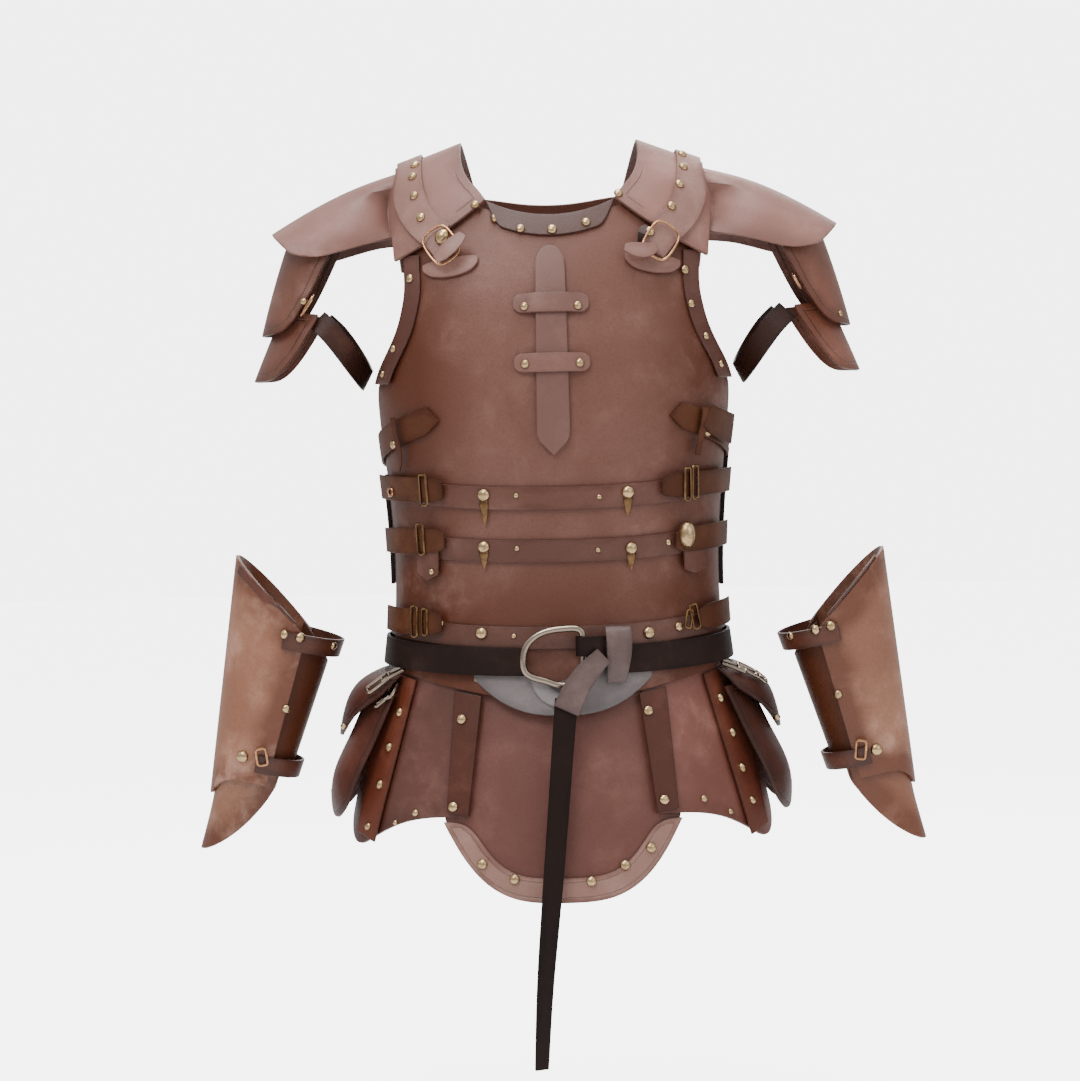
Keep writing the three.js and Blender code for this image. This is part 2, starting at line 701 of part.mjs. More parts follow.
// A riveted strip down the skirt, from the breastplate's edge to its foot.
function skirtStrip({ top, foot, widths, slant }) {
  const outline = (s, t) => {
    const side = s - 0.5;
    const x = top + side * widths[0];
    const end = [foot[0] + side * widths[1], foot[1] + side * slant];
    return [lerp(x, end[0], t), lerp(hemAt(x) - 1.5, end[1], t)];
  };
  return sheetOnFront(3, 8, outline, (angle, z) => ON_SKIRT + skirtFlare(angle, z), STRAP - 0.5);
}

function backTasset() {
  const outline = (s, t) => {
    const side = s * 2 - 1;
    const low = -662 + 16 * Math.cos(side * Math.PI * 2) * (1 - 0.5 * Math.abs(side));
    return [Math.PI + side * rad(88), lerp(SKIRT_TOP, low, t)];
  };
  return sheetOnBody(18, 5, outline, SIDE_DROP, PLATE);
}

// The hip lames stand off the skirt, most at the hip itself.
const HIP_MIDDLE = 92;
const HIP_ARC = 30;
const UPPER_HIP = [
  { z: -610, off: 31 },
  { z: -561, off: 37 },
  { z: -533, off: 32 },
  { z: -517, off: 18 },
  { z: -511, off: 8 },
];
const LOWER_HIP = [
  { z: -665, off: 19 },
  { z: -636, off: 31 },
  { z: -613, off: 31 },
  { z: -594, off: 26.5 },
  { z: -575, off: 23 },
  { z: -530, off: 16 },
];

function hipLame(table, low, foot_arc) {
  const top = table[table.length - 1].z;
  const bend = (angle) => (angle - rad(HIP_MIDDLE)) / rad(HIP_ARC);
  const outline = (s, t) => {
    const angle = rad(HIP_MIDDLE + (s * 2 - 1) * lerp(foot_arc, HIP_ARC, t));
    return [angle, lerp(low(s * 2 - 1), top, t)];
  };
  const lift = (angle, z) => read(table, "z", "off", z) * (1 - 0.45 * bend(angle) ** 2);
  return sheetOnBody(8, 6, outline, lift, PLATE);
}
const upperHipLame = () => hipLame(UPPER_HIP, (side) => -590 + 54 * Math.abs(side) ** 1.2, 28);
const lowerHipLame = () =>
  hipLame(LOWER_HIP, (side) => -640 - 20 * Math.sin(Math.PI * Math.abs(side)), 24);

// ---------------------------------------------------------------- pauldrons
// A point of a lame: the angle goes round its arch from the front, and t from top to foot.
function archOf({ from, to }, spread, angle, t) {
  const mix = (key) => lerp(from[key], to[key], t);
  const lean = rad(mix("lean"));
  const out = mix("rise") * power(Math.cos(angle), 0.9);
  return point(
    mix("x") + spread + out * Math.sin(lean),
    -mix("half_depth") * power(Math.sin(angle), 0.9),
    mix("z") + out * Math.cos(lean),
  );
}

// The upper lame starts under the yoke's edge.
function upperLame(spread, angle, t) {
  const along = 0.5 - (0.38 * angle) / rad(LAMES.upper.arc);
  const places = [
    onYoke(0.955, along, -2 * GAP),
    onYoke(1.04, along, -2 * GAP),
    archOf(LAMES.upper, spread, angle, 0.15),
    archOf(LAMES.upper, spread, angle, 0.55),
    archOf(LAMES.upper, spread, angle, 1),
  ];
  return new THREE.CatmullRomCurve3(places).getPoint(THREE.MathUtils.clamp(t, 0, 1));
}

function pauldron(name, side) {
  const { arc, cut } = LAMES[name];
  const spread = LAME_SPREAD[side];
  const surface = (angle, t) =>
    name === "upper" ? upperLame(spread, angle, t) : archOf(LAMES[name], spread, angle, t);
  const reach = (angle) => {
    const past = Math.max(0, Math.abs(angle) - rad(cut.from)) / rad(arc - cut.from);
    return 1 - cut.share * past ** 2.2;
  };
  const place = (s, t, lift) => {
    const angle = rad(arc) * (1 - s * 2);
    const low = THREE.MathUtils.clamp(t * reach(angle), 0.01, 0.99);
    return lifted(surface, angle, low, lift, 0.01, 0.01);
  };
  return wall(14, name === "upper" ? 7 : 5, (s, t) => [place(s, t, 0), place(s, t, -PLATE)]);
}

// The strap that holds the lames round the upper arm.
function armStrap() {
  const places = [
    { at: [230, -45, -162], looks: [0.1, -1, 0.2] },
    { at: [216, -50, -176], looks: [-0.3, -1, 0] },
    { at: [196, -36, -205], looks: [-0.8, -0.7, -0.4] },
    { at: [186, 0, -222], looks: [-1, 0, -0.5] },
    { at: [196, 36, -205], looks: [-0.8, 0.7, -0.4] },
    { at: [216, 50, -176], looks: [-0.3, 1, 0] },
    { at: [230, 45, -162], looks: [0.1, 1, 0.2] },
  ];
  return strapAlong(places, 22, STRAP, 18);
}

// ---------------------------------------------------------------- bracers
// A point of a forearm's form: round it from its outer side, and along it from the wrist.
function forearm(arm, angle, along) {
  const lean = rad(arm.lean);
  const half_width = read(FOREARM_SIZE, "along", "half_width", along);
  const half_depth = read(FOREARM_SIZE, "along", "half_depth", along);
  const out = half_width * Math.cos(angle);
  return point(
    arm.wrist[0] - along * Math.sin(lean) + out * Math.cos(lean),
    -half_depth * Math.sin(angle),
    arm.wrist[1] + along * Math.cos(lean) + out * Math.sin(lean),
  );
}

// A sheet round the forearm over an arc of degrees, between its low and its high edge.
function sheetOnForearm(side, columns, rows, arc, low, high, lift, thickness) {
  const surface = (angle, along) => forearm(FOREARMS[side], angle, along);
  return wall(columns, rows, (s, t) => {
    const angle = rad(lerp(arc[0], arc[1], s));
    const along = lerp(low(angle), high(angle), t);
    const out = (height) => lifted(surface, angle, along, -height, 0.01, 1);
    return [out(lift + thickness), out(lift)];
  });
}

const bracerTop = (angle) => BRACER.top - BRACER.top_slope * (1 - Math.cos(angle));

function bracer(side) {
  const arc = [-BRACER.half_arc, BRACER.half_arc];
  const foot = (angle) => BRACER.foot - BRACER.foot_drop * Math.max(0, Math.cos(angle)) ** 4;
  return sheetOnForearm(side, 18, 7, arc, foot, bracerTop, 0, PLATE);
}

function bracerFlap(side) {
  const low = (angle) => -76 * (1 - (Math.abs(angle) / rad(138)) ** 2.2);
  return sheetOnForearm(side, 14, 4, [-132, 132], low, () => 20, -ON_PLATE, PLATE);
}

function bracerGusset(side) {
  return sheetOnForearm(side, 7, 5, [106, 254], () => 21.5, bracerTop, -ON_PLATE, STRAP);
}

function bracerStrap(side, middle, arc) {
  const low = () => middle - 9;
  const high = () => middle + 9;
  return sheetOnForearm(side, 12, 1, [180 - arc, 180 + arc], low, high, ON_PLATE, STRAP);
}

// ---------------------------------------------------------------- leathers and metals
const finish = (color, roughness, metalness = 0) =>
  new THREE.MeshStandardMaterial({ color, roughness, metalness });
const LEATHER = finish(0x6b4236, 0.5);
const TAN = finish(0x6e3d22, 0.5);
const DARK = finish(0x2f1d17, 0.55);
const GREY = finish(0x77716d, 0.7);
const BRASS = finish(0xa08550, 0.35, 1);
const STEEL = finish(0xb5ada0, 0.3, 1);

const armour = new THREE.Group();

function add(name, geometry, material) {
  const mesh = new THREE.Mesh(geometry, material);
  mesh.name = name;
  armour.add(mesh);
  return mesh;
}

// One piece for the wearer's left, as it is made, and one for the right, mirrored.
function addPair(name, make, material) {
  add(`${name}_left`, make("left"), material);
  add(`${name}_right`, make("right"), material).scale.x = -1;
}

add("breastplate", breastplate(), LEATHER);
add("backplate", backplate(), LEATHER);
add("neck_binding", neckBinding(), TAN);
addPair("armhole_binding", armholeBinding, TAN);
addPair("yoke", yokeSheet, LEATHER);
addPair("shoulder_strap", shoulderStrap, LEATHER);
addPair("shoulder_buckle", shoulderBuckle, BRASS);
addPair("shoulder_tab", shoulderTab, LEATHER);
add("chest_tongue", chestTongue(), LEATHER);
add("chest_keeper_upper", chestKeeper(-153.5), LEATHER);
add("chest_keeper_lower", chestKeeper(-209.5), LEATHER);
for (const [name, heights] of Object.entries(BANDS))
  add(`waist_band_${name}`, waistBand(heights), TAN);
addPair("side_strap", sideStrap, TAN);
addPair("band_tab", bandTab, TAN);

add("belt", belt(), DARK);
add("belt_ring", beltRing(), STEEL);
add("belt_loop", beltLoop(), LEATHER);
add("belt_flap", beltFlap(), LEATHER);
add("belt_tail", beltTail(), DARK);
add("belly_apron", bellyApron(), GREY);

add("tasset_centre", centreTasset(), LEATHER);
add("tasset_border", tassetBorder(), LEATHER);
add("tasset_back", backTasset(), LEATHER);
addPair("tasset_side", sideTasset, LEATHER);
addPair("tasset_inner_strip", () => skirtStrip(INNER_STRIP), TAN);
addPair("tasset_outer_strip", () => skirtStrip(OUTER_STRIP), TAN);
addPair("hip_lame_upper", upperHipLame, LEATHER);
addPair("hip_lame_lower", lowerHipLame, LEATHER);

for (const name of Object.keys(LAMES))
  addPair(`pauldron_${name}`, (side) => pauldron(name, side), LEATHER);
addPair("arm_strap", armStrap, DARK);

addPair("bracer", bracer, LEATHER);
addPair("bracer_flap", bracerFlap, LEATHER);
addPair("bracer_gusset", bracerGusset, TAN);
addPair("bracer_strap_upper", (side) => bracerStrap(side, 152, 86), TAN);
addPair("bracer_strap_lower", (side) => bracerStrap(side, 25, 86), TAN);

export default armour;
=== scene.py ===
import math

import bmesh
import bpy
from mathutils import Matrix, Vector
from mathutils.bvhtree import BVHTree
from mathutils.kdtree import KDTree


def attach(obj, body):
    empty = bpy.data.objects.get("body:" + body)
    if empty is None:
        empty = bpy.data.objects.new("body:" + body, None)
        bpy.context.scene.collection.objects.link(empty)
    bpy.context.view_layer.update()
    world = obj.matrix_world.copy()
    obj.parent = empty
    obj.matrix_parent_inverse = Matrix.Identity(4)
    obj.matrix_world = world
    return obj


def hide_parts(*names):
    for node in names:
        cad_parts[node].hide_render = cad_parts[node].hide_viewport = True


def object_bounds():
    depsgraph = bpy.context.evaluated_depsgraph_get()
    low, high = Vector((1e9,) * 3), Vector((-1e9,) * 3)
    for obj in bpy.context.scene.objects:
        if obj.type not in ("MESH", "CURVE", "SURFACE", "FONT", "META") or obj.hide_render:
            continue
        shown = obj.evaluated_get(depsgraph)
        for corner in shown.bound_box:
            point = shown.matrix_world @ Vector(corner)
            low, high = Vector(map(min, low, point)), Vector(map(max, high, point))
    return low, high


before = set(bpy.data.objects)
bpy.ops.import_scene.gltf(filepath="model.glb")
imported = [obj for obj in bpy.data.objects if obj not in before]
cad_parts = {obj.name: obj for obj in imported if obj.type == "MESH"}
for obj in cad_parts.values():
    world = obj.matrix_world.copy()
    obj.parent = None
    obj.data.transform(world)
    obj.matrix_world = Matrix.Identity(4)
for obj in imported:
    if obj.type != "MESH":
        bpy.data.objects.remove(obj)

bl_info = {
    "name": "Leather Armour",
    "version": (1, 0, 0),
    "blender": (4, 5, 0),
    "location": "View3D > Sidebar > Armour",
    "description": "Finishes a leather cuirass with its shoulders, belt, skirt and bracers",
    "category": "Object",
}

CAD_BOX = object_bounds()
MM = 0.001

# ---- cut sizes
# node: (finish, width, length, area in square mm, how it is held, what it lies on)
CUTS = {
    "breastplate": ("armour", 494, 503, 194500, "stretched", ""),
    "backplate": ("armour", 475, 495, 184600, "stretched", ""),
    "neck_binding": ("binding", 134, 33, 2640, "laid", "breastplate"),
    "armhole_binding_*": ("binding", 48, 157, 3020, "laid", "breastplate"),
    # The yoke's leather is painted paler as top light.
    "yoke_*": ("yoke", 113, 286, 24460, "laid", "breastplate backplate"),
    "shoulder_strap_*": ("strap_light", 37, 309, 9280, "laid", "yoke_*"),
    "shoulder_tab_*": ("tab", 64, 19, 930, "laid", "breastplate"),
    "chest_tongue": ("tongue", 46, 205, 5850, "laid", "breastplate"),
    "chest_keeper_upper": ("tongue", 78, 19, 1360, "laid", "chest_tongue"),
    "chest_keeper_lower": ("tongue", 78, 18, 1320, "laid", "chest_tongue"),
    "waist_band_upper": ("band", 948, 22, 20650, "laid", "breastplate backplate"),
    "waist_band_middle": ("band", 919, 22, 19950, "laid", "breastplate backplate"),
    "waist_band_lower": ("band", 924, 22, 19950, "laid", "breastplate backplate"),
    "side_strap_*": ("side", 39, 176, 4380, "laid", "breastplate"),
    "band_tab_*": ("band", 33, 43, 1100, "hung", "waist_band_middle"),
    "belt": ("belt", 965, 28, 25470, "laid", "breastplate backplate"),
    "belt_loop": ("knot", 25, 61, 1390, "folded", "belt"),
    "belt_flap": ("knot", 26, 69, 1500, "folded", "belt_ring"),
    "belt_tail": ("belt", 22, 354, 6680, "hung", "belt_ring"),
    "belly_apron": ("apron", 197, 42, 5480, "hung", "belt"),
    "tasset_centre": ("skirt", 310, 226, 46880, "hung", "breastplate"),
    "tasset_border": ("border", 306, 23, 6090, "laid", "tasset_centre"),
    "tasset_back": ("skirt", 553, 179, 79460, "hung", "backplate"),
    "tasset_side_*": ("skirt", 196, 183, 26140, "hung", "breastplate"),
    "tasset_inner_strip_*": ("strip", 29, 119, 2980, "laid", "tasset_side_*"),
    "tasset_outer_strip_*": ("strip", 57, 164, 7750, "laid", "tasset_side_*"),
    "hip_lame_upper_*": ("hip", 219, 91, 11070, "hung", "belt"),
    "hip_lame_lower_*": ("hip", 189, 139, 21680, "hung", "belt"),
    # The upper lame's leather is painted paler as top light.
    "pauldron_upper_*": ("pauldron_top", 208, 149, 25600, "laid", "yoke_*"),
    "pauldron_middle_*": ("pauldron", 318, 106, 16030, "hung", "pauldron_upper_*"),
    "pauldron_lower_*": ("pauldron", 263, 75, 10080, "hung", "pauldron_middle_*"),
    "arm_strap_*": ("dark_strap", 22, 223, 4660, "stretched", "pauldron_middle_*"),
    "bracer_*": ("bracer", 272, 241, 39140, "stretched", ""),
    "bracer_flap_*": ("bracer", 218, 96, 11550, "hung", "bracer_*"),
    "bracer_gusset_*": ("gusset", 139, 144, 13270, "stretched", "bracer_*"),
    "bracer_strap_upper_*": ("bracer_strap", 174, 18, 3090, "stretched", "bracer_*"),
    "bracer_strap_lower_*": ("bracer_strap", 136, 18, 2420, "stretched", "bracer_*"),
}

# How much paler or darker than its kind each piece is painted: lit and shaded copies of one leather, mostly
# painted light and shade where light falls unevenly on the pieces, partly a difference in the leather
# itself.
PAINTED_LIGHT_TONES = {
    "tasset_side_right": 0.74, "tasset_side_left": 1.2, "pauldron_middle_right": 0.76,
    "pauldron_lower_left": 1.22, "pauldron_lower_right": 0.88, "hip_lame_upper_left": 0.66,
    "hip_lame_lower_left": 0.66, "hip_lame_upper_right": 1.15, "hip_lame_lower_right": 1.15,
    "tasset_outer_strip_right": 1.5, "tasset_outer_strip_left": 1.25, "tasset_inner_strip_right": 0.84,
    "tasset_inner_strip_left": 0.84, "chest_tongue": 0.84, "chest_keeper_upper": 0.85,
    "waist_band_middle": 0.87, "waist_band_lower": 0.78, "bracer_flap_right": 0.84, "bracer_right": 1.1,
    "neck_binding": 0.8, "yoke_right": 0.92, "pauldron_upper_right": 0.92, "yoke_left": 1.06,
    "tasset_centre": 0.93,
}

# Where each rivet sits, as a place in mm that is drawn on to the piece, and its width in mm.
RIVETS = {
    "neck_binding": [(-56, -92, -70, 9), (-29, -100, -80, 9), (1.2, -101, -81.6, 10), (34, -97, -75, 9)],
    "armhole_binding_right": [
        (-137, -85, -125, 9), (-143, -85, -158, 8), (-155, -78, -192, 7.5), (-167, -60, -216, 7)],
    "armhole_binding_left": [
        (131, -94, -121, 9), (134, -94, -155, 8), (148, -85, -186, 7.5), (163, -66, -213, 7)],
    "shoulder_strap_right": [
        (-131.7, -31, -12, 9.5), (-133.6, -45, -24, 9.5), (-131.5, -62, -44, 9.5), (-125.2, -79, -66, 9.5)],
    "shoulder_strap_left": [
        (131.4, -20, -6, 9.5), (131.3, -42, -19.5, 9.5), (126.2, -61, -38, 9.5), (117.3, -80, -60, 9.5),
        (95.7, -105, -82.7, 10)],
    "yoke_right": [(-72, -85, -56, 9)],
    "yoke_left": [(66, -82, -47, 9)],
    "chest_keeper_upper": [(-29.5, -135, -154, 8.5), (26.5, -135, -154, 8.5)],
    "chest_keeper_lower": [(-29.5, -140, -209.5, 8.5), (26.5, -140, -209.5, 8.5)],
    "waist_band_upper": [
        (-136.6, -87, -327, 9), (-112.5, -104, -329, 10), (107, -108, -328.6, 10), (136.3, -87, -327.5, 9),
        (-69.4, -120, -334, 12.5), (68.5, -120, -334, 12.5), (-38.4, -125, -335, 5), (41, -125, -338, 5)],
    "waist_band_middle": [
        (-139, -78, -379, 9), (-113, -99, -376, 9), (107.4, -102, -384, 6),
        (-70.6, -116, -384, 12), (70.8, -115, -388, 12), (-38.8, -121, -386, 5), (38.8, -121, -389, 5)],
    "waist_band_lower": [
        (-147.5, -67, -460, 9), (-115, -97, -458, 9), (-74.4, -114, -467, 12), (-43.5, -120, -470, 5),
        (86.5, -111, -470, 12), (116, -97, -466, 9), (143.5, -73, -462, 9)],
    "band_tab_right": [(-122, -96, -408, 6)],
    "side_strap_right": [(-156.5, -71, -285, 9)],
    "side_strap_left": [(147.3, -84, -279, 9)],
    "tasset_inner_strip_right": [(-95, -119, -549, 10), (-104.5, -135, -631, 10)],
    "tasset_inner_strip_left": [(83.5, -121, -544, 10), (96.8, -137, -628, 10)],
    "tasset_outer_strip_right": [
        (-156.7, -74, -546, 9.5), (-167.2, -75, -580, 9.5), (-176.7, -78, -616, 9.5), (-189, -78, -657, 8)],
    "tasset_outer_strip_left": [
        (155.8, -71, -539, 9.5), (166.7, -72, -573, 9.5), (175.4, -76, -607, 9.5), (184.5, -77, -639, 8)],
    "tasset_border": [
        (-77.7, -146, -685, 10), (-47.2, -153, -699, 10), (25.6, -155, -702, 10),
        (58.1, -150, -688, 10), (83.3, -143, -673, 10), (-9, -155, -706, 7)],
    "tasset_side_right": [(-142.2, -115, -639, 7), (-162.2, -102, -650, 5)],
    "tasset_side_left": [(135.8, -116, -631, 7), (162.5, -101, -646, 6)],
    "hip_lame_upper_right": [(-215.7, -34, -568, 8)],
    "hip_lame_upper_left": [(215.7, -34, -568, 8)],
    "pauldron_middle_right": [(-241.6, -62, -144, 7)],
    "pauldron_middle_left": [(282.7, -42, -166, 6)],
    "bracer_strap_upper_right": [(-269, -54, -469, 10), (-254, -51, -473, 10), (-223, -27, -484, 8)],
    "bracer_strap_upper_left": [(267, -53, -472, 10), (252, -49, -476, 10), (230, -30, -483, 8)],
    "bracer_right": [(-270.6, -40, -544, 9), (-315.4, -38, -591, 12)],
    "bracer_left": [(274.4, -41, -541, 9), (312, -39, -597, 12)],
}

# The left bracer's upper rim, as rows of x, y, z, width and lift in mm.
BRACER_RIM = [
    (314, -28, -405, 11, 1), (308, -35, -410, 11, 1), (303, -40.6, -414, 11, 1),
    (294.5, -46.5, -423, 11, 1), (285, -50.5, -432, 11, 1), (275.6, -52.2, -441, 11, 1),
    (266, -51, -449, 10, 1), (257, -48, -456, 8, 1),
]

# The leather ends beside the band buckles, as rows of x, y, z and width in mm.
BAND_ENDS = {
    "upper_right": [
        (-106, -106, -328.5, 16), (-112, -103, -328.5, 23), (-128, -94, -328, 24),
        (-146, -76, -327.5, 24), (-158, -55, -327, 24), (-167, -30, -326, 24)],
    "upper_left": [
        (99, -110, -328.5, 16), (106, -107, -328.5, 23), (123, -98, -328, 24),
        (146, -75, -327, 24), (158, -55, -326, 24), (167, -30, -325.5, 24)],
    "middle_right": [
        (-106, -103, -377, 15), (-112, -100, -377.3, 23), (-128, -88, -378, 24.5),
        (-142, -72, -378.5, 24.5), (-153, -53, -379, 24.5), (-162, -28, -379, 24)],
    "middle_left": [
        (112, -100, -381.5, 15), (117, -97, -381.5, 23), (130, -87, -381, 24.5),
        (142, -73, -380, 24.5), (153, -53, -379, 24.5), (162, -28, -378, 24)],
    "lower_right": [
        (-110, -99, -458, 14), (-116, -96, -458, 22), (-131, -85, -458, 24),
        (-145, -70, -457.5, 25), (-156, -52, -457, 25), (-165, -28, -456, 24)],
    "lower_left": [
        (133, -84, -459, 14), (138, -79, -458.5, 22), (146, -70, -457.5, 25),
        (155, -54, -456.5, 25), (163, -35, -456, 25), (167, -18, -455, 24)],
}
BAND_END_LIFT = 8

# Small straps: name: (finish, piece lain on, wall, rows of x, y, z, width and lift in mm).
STRIPS = {
    **{f"band_end_{name}": ("band_end", "breastplate", 1.8, [(*row, BAND_END_LIFT) for row in rows])
       for name, rows in BAND_ENDS.items()},
    "closing_strap_right": ("closing", "backplate", 4, [
        (-170, 3, -318, 34, 1), (-170, 2, -345, 38, 1), (-168, 2, -385, 37, 1), (-168, 2, -425, 34, 1)]),
    "closing_strap_left": ("closing", "backplate", 4, [
        (170, 3, -266, 30, 1), (170, 2, -296, 36, 1), (170, 2, -330, 38, 1), (168, 2, -370, 37, 1),
        (168, 2, -410, 35, 1), (169, 2, -432, 32, 1)]),
    "side_keeper_right": ("side", "breastplate", 1.6, [
        (-152, -80, -258, 9, 8.5), (-149, -79, -274, 9, 8.5), (-145, -80, -290, 9, 8),
        (-146, -77, -302, 7, 6), (-147, -73, -310, 2, 5)]),
    "side_keeper_left": ("side", "breastplate", 1.6, [
        (143, -92, -254, 9, 8.5), (139, -90, -270, 9, 8.5), (135, -91, -285, 9, 8.2),
        (132, -90, -300, 8, 7)]),
    "side_plate_left": ("band_end", "breastplate", 1.8, [
        (141, -88, -262, 24, 8.8), (148, -82, -267, 28, 8.8), (157, -68, -272, 30, 8.8),
        (166, -45, -276, 30, 8.8)]),
    "buckle_roll_right": ("strap_light", "breastplate", 2.2, [
        (-81, -101, -90, 9, 19), (-86, -103, -96, 15, 20), (-93, -105, -102, 17, 21),
        (-100, -104, -108, 16, 20), (-106, -101, -113, 9, 18)]),
    "buckle_roll_left": ("strap_light", "breastplate", 2.2, [
        (68, -106, -104, 8, 12), (75, -107, -105.5, 14, 13), (84, -107, -107, 17, 13.5),
        (93, -107, -105, 15, 13.5), (100, -104, -101, 8, 12)]),
    "buckle_oval_left": ("knot", "breastplate", 1.6, [
        (82, -93, -98, 5, 10), (84.5, -93, -93, 10, 11), (87.5, -93, -88, 11, 11), (91, -92, -83, 6, 10)]),
    "bracer_tail_left": ("dark_strap", "bracer_left", 1.8, [
        (238, -55, -458, 7, 5.5), (229, -50, -467, 9, 5), (219, -42, -477, 9, 5), (210, -36, -486, 7, 5)]),
    "bracer_rim_right": ("bracer_strap", "bracer_right", 1.6, [(-x, *rest) for x, *rest in BRACER_RIM]),
    "bracer_rim_left": ("bracer_strap", "bracer_left", 1.6, BRACER_RIM),
    "apron_inner_layer": ("apron_light", "belly_apron", 1.6, [
        (-25, -132, -508, 10, 0.5), (-20, -134, -517, 14, 0.5), (-14, -136, -524, 16, 0.5),
        (-5, -137, -529, 16, 0.5), (4, -137, -531, 15, 0.5)]),
}

# Bronze claws that hang from the band studs: band, x, y, z, length and width in mm.
CLAWS = [
    ("waist_band_upper", -69.4, -120, -340.5, 26, 9.5), ("waist_band_upper", 68.5, -120, -339, 20, 10),
    ("waist_band_middle", -70.6, -116, -388.5, 18, 10), ("waist_band_middle", 70.8, -115, -392.5, 18, 10),
]
CLAW_THICK = 5
CLAW_LIFT = 0.8

# Oblong wire frames: name: (metal, piece lain on, wire radius, corner radius, lift, places),
# a place being x, y, z, width, height and turn in degrees.
FRAMES = {
    "band_buckles": ("bronze", "breastplate", 1.2, 2.6, 10.5, [
        (-124, -97, -328, 8, 30, 0), (123, -98, -327.5, 7, 32, 4), (130, -93, -326, 7, 32, 4),
        (-128, -89, -376, 8, 30, 0), (-136, -81, -457, 8, 30, 2), (-126, -89, -457, 6, 26, 2),
        (128, -88, -457, 9, 24, 12), (122, -92, -459, 7, 18, -14)]),
    "band_wires": ("copper", "breastplate", 1.2, 2.5, 9.5, [
        (-157, -60, -331, 10, 7, 10), (-148, -72, -262, 6, 24, -18)]),
    "bracer_buckle_right": ("copper", "bracer_right", 1.4, 3, 5.5, [(-296, -43, -591, 10, 17, 8)]),
    "bracer_buckle_left": ("copper", "bracer_left", 1.4, 3, 5.5, [(296.5, -42, -596, 10, 19, -6)]),
    "arm_loop_right": ("copper", "pauldron_middle_right", 1.4, 4, 2.5, [(-223, -48, -157, 12, 22, 18)]),
    "arm_loop_left": ("copper", "pauldron_middle_left", 1.4, 4, 2.5, [(228, -52, -140, 10, 14, -20)]),
    "hip_links_right": ("steel", "hip_lame_upper_right", 1.7, 4, 4, [
        (-166, -70, -503, 11, 26, -40), (-176, -66, -520, 11, 26, -35), (-166, -70, -522, 10, 22, -10),
        (-172, -68, -536, 9, 18, 5)]),
    "hip_links_left": ("steel", "hip_lame_upper_left", 1.7, 4, 4, [
        (176, -62, -498, 11, 26, 40), (188, -50, -512, 11, 26, 40), (196, -42, -524, 9, 16, 35)]),
}

# Round-topped bosses: name: (metal, piece lain on, places as x, y, z, width, height, rise and turn).
BOSSES = {
    "band_dome_left": ("brass", "band_tab_left", [(124, -97, -377, 17, 27, 9, 0)]),
    "shoulder_studs_right": ("brass", "shoulder_strap_right", [(-104, -99, -86, 15, 17, 7, -35)]),
    "shoulder_studs_left": ("brass", "breastplate", [
        (104, -98, -106, 9, 9, 5, 0), (104, -96, -112, 8, 8, 4, 0)]),
    "apron_knob": ("steel", "belly_apron", [(-79, -114, -512, 7, 5, 4, 0)]),
}

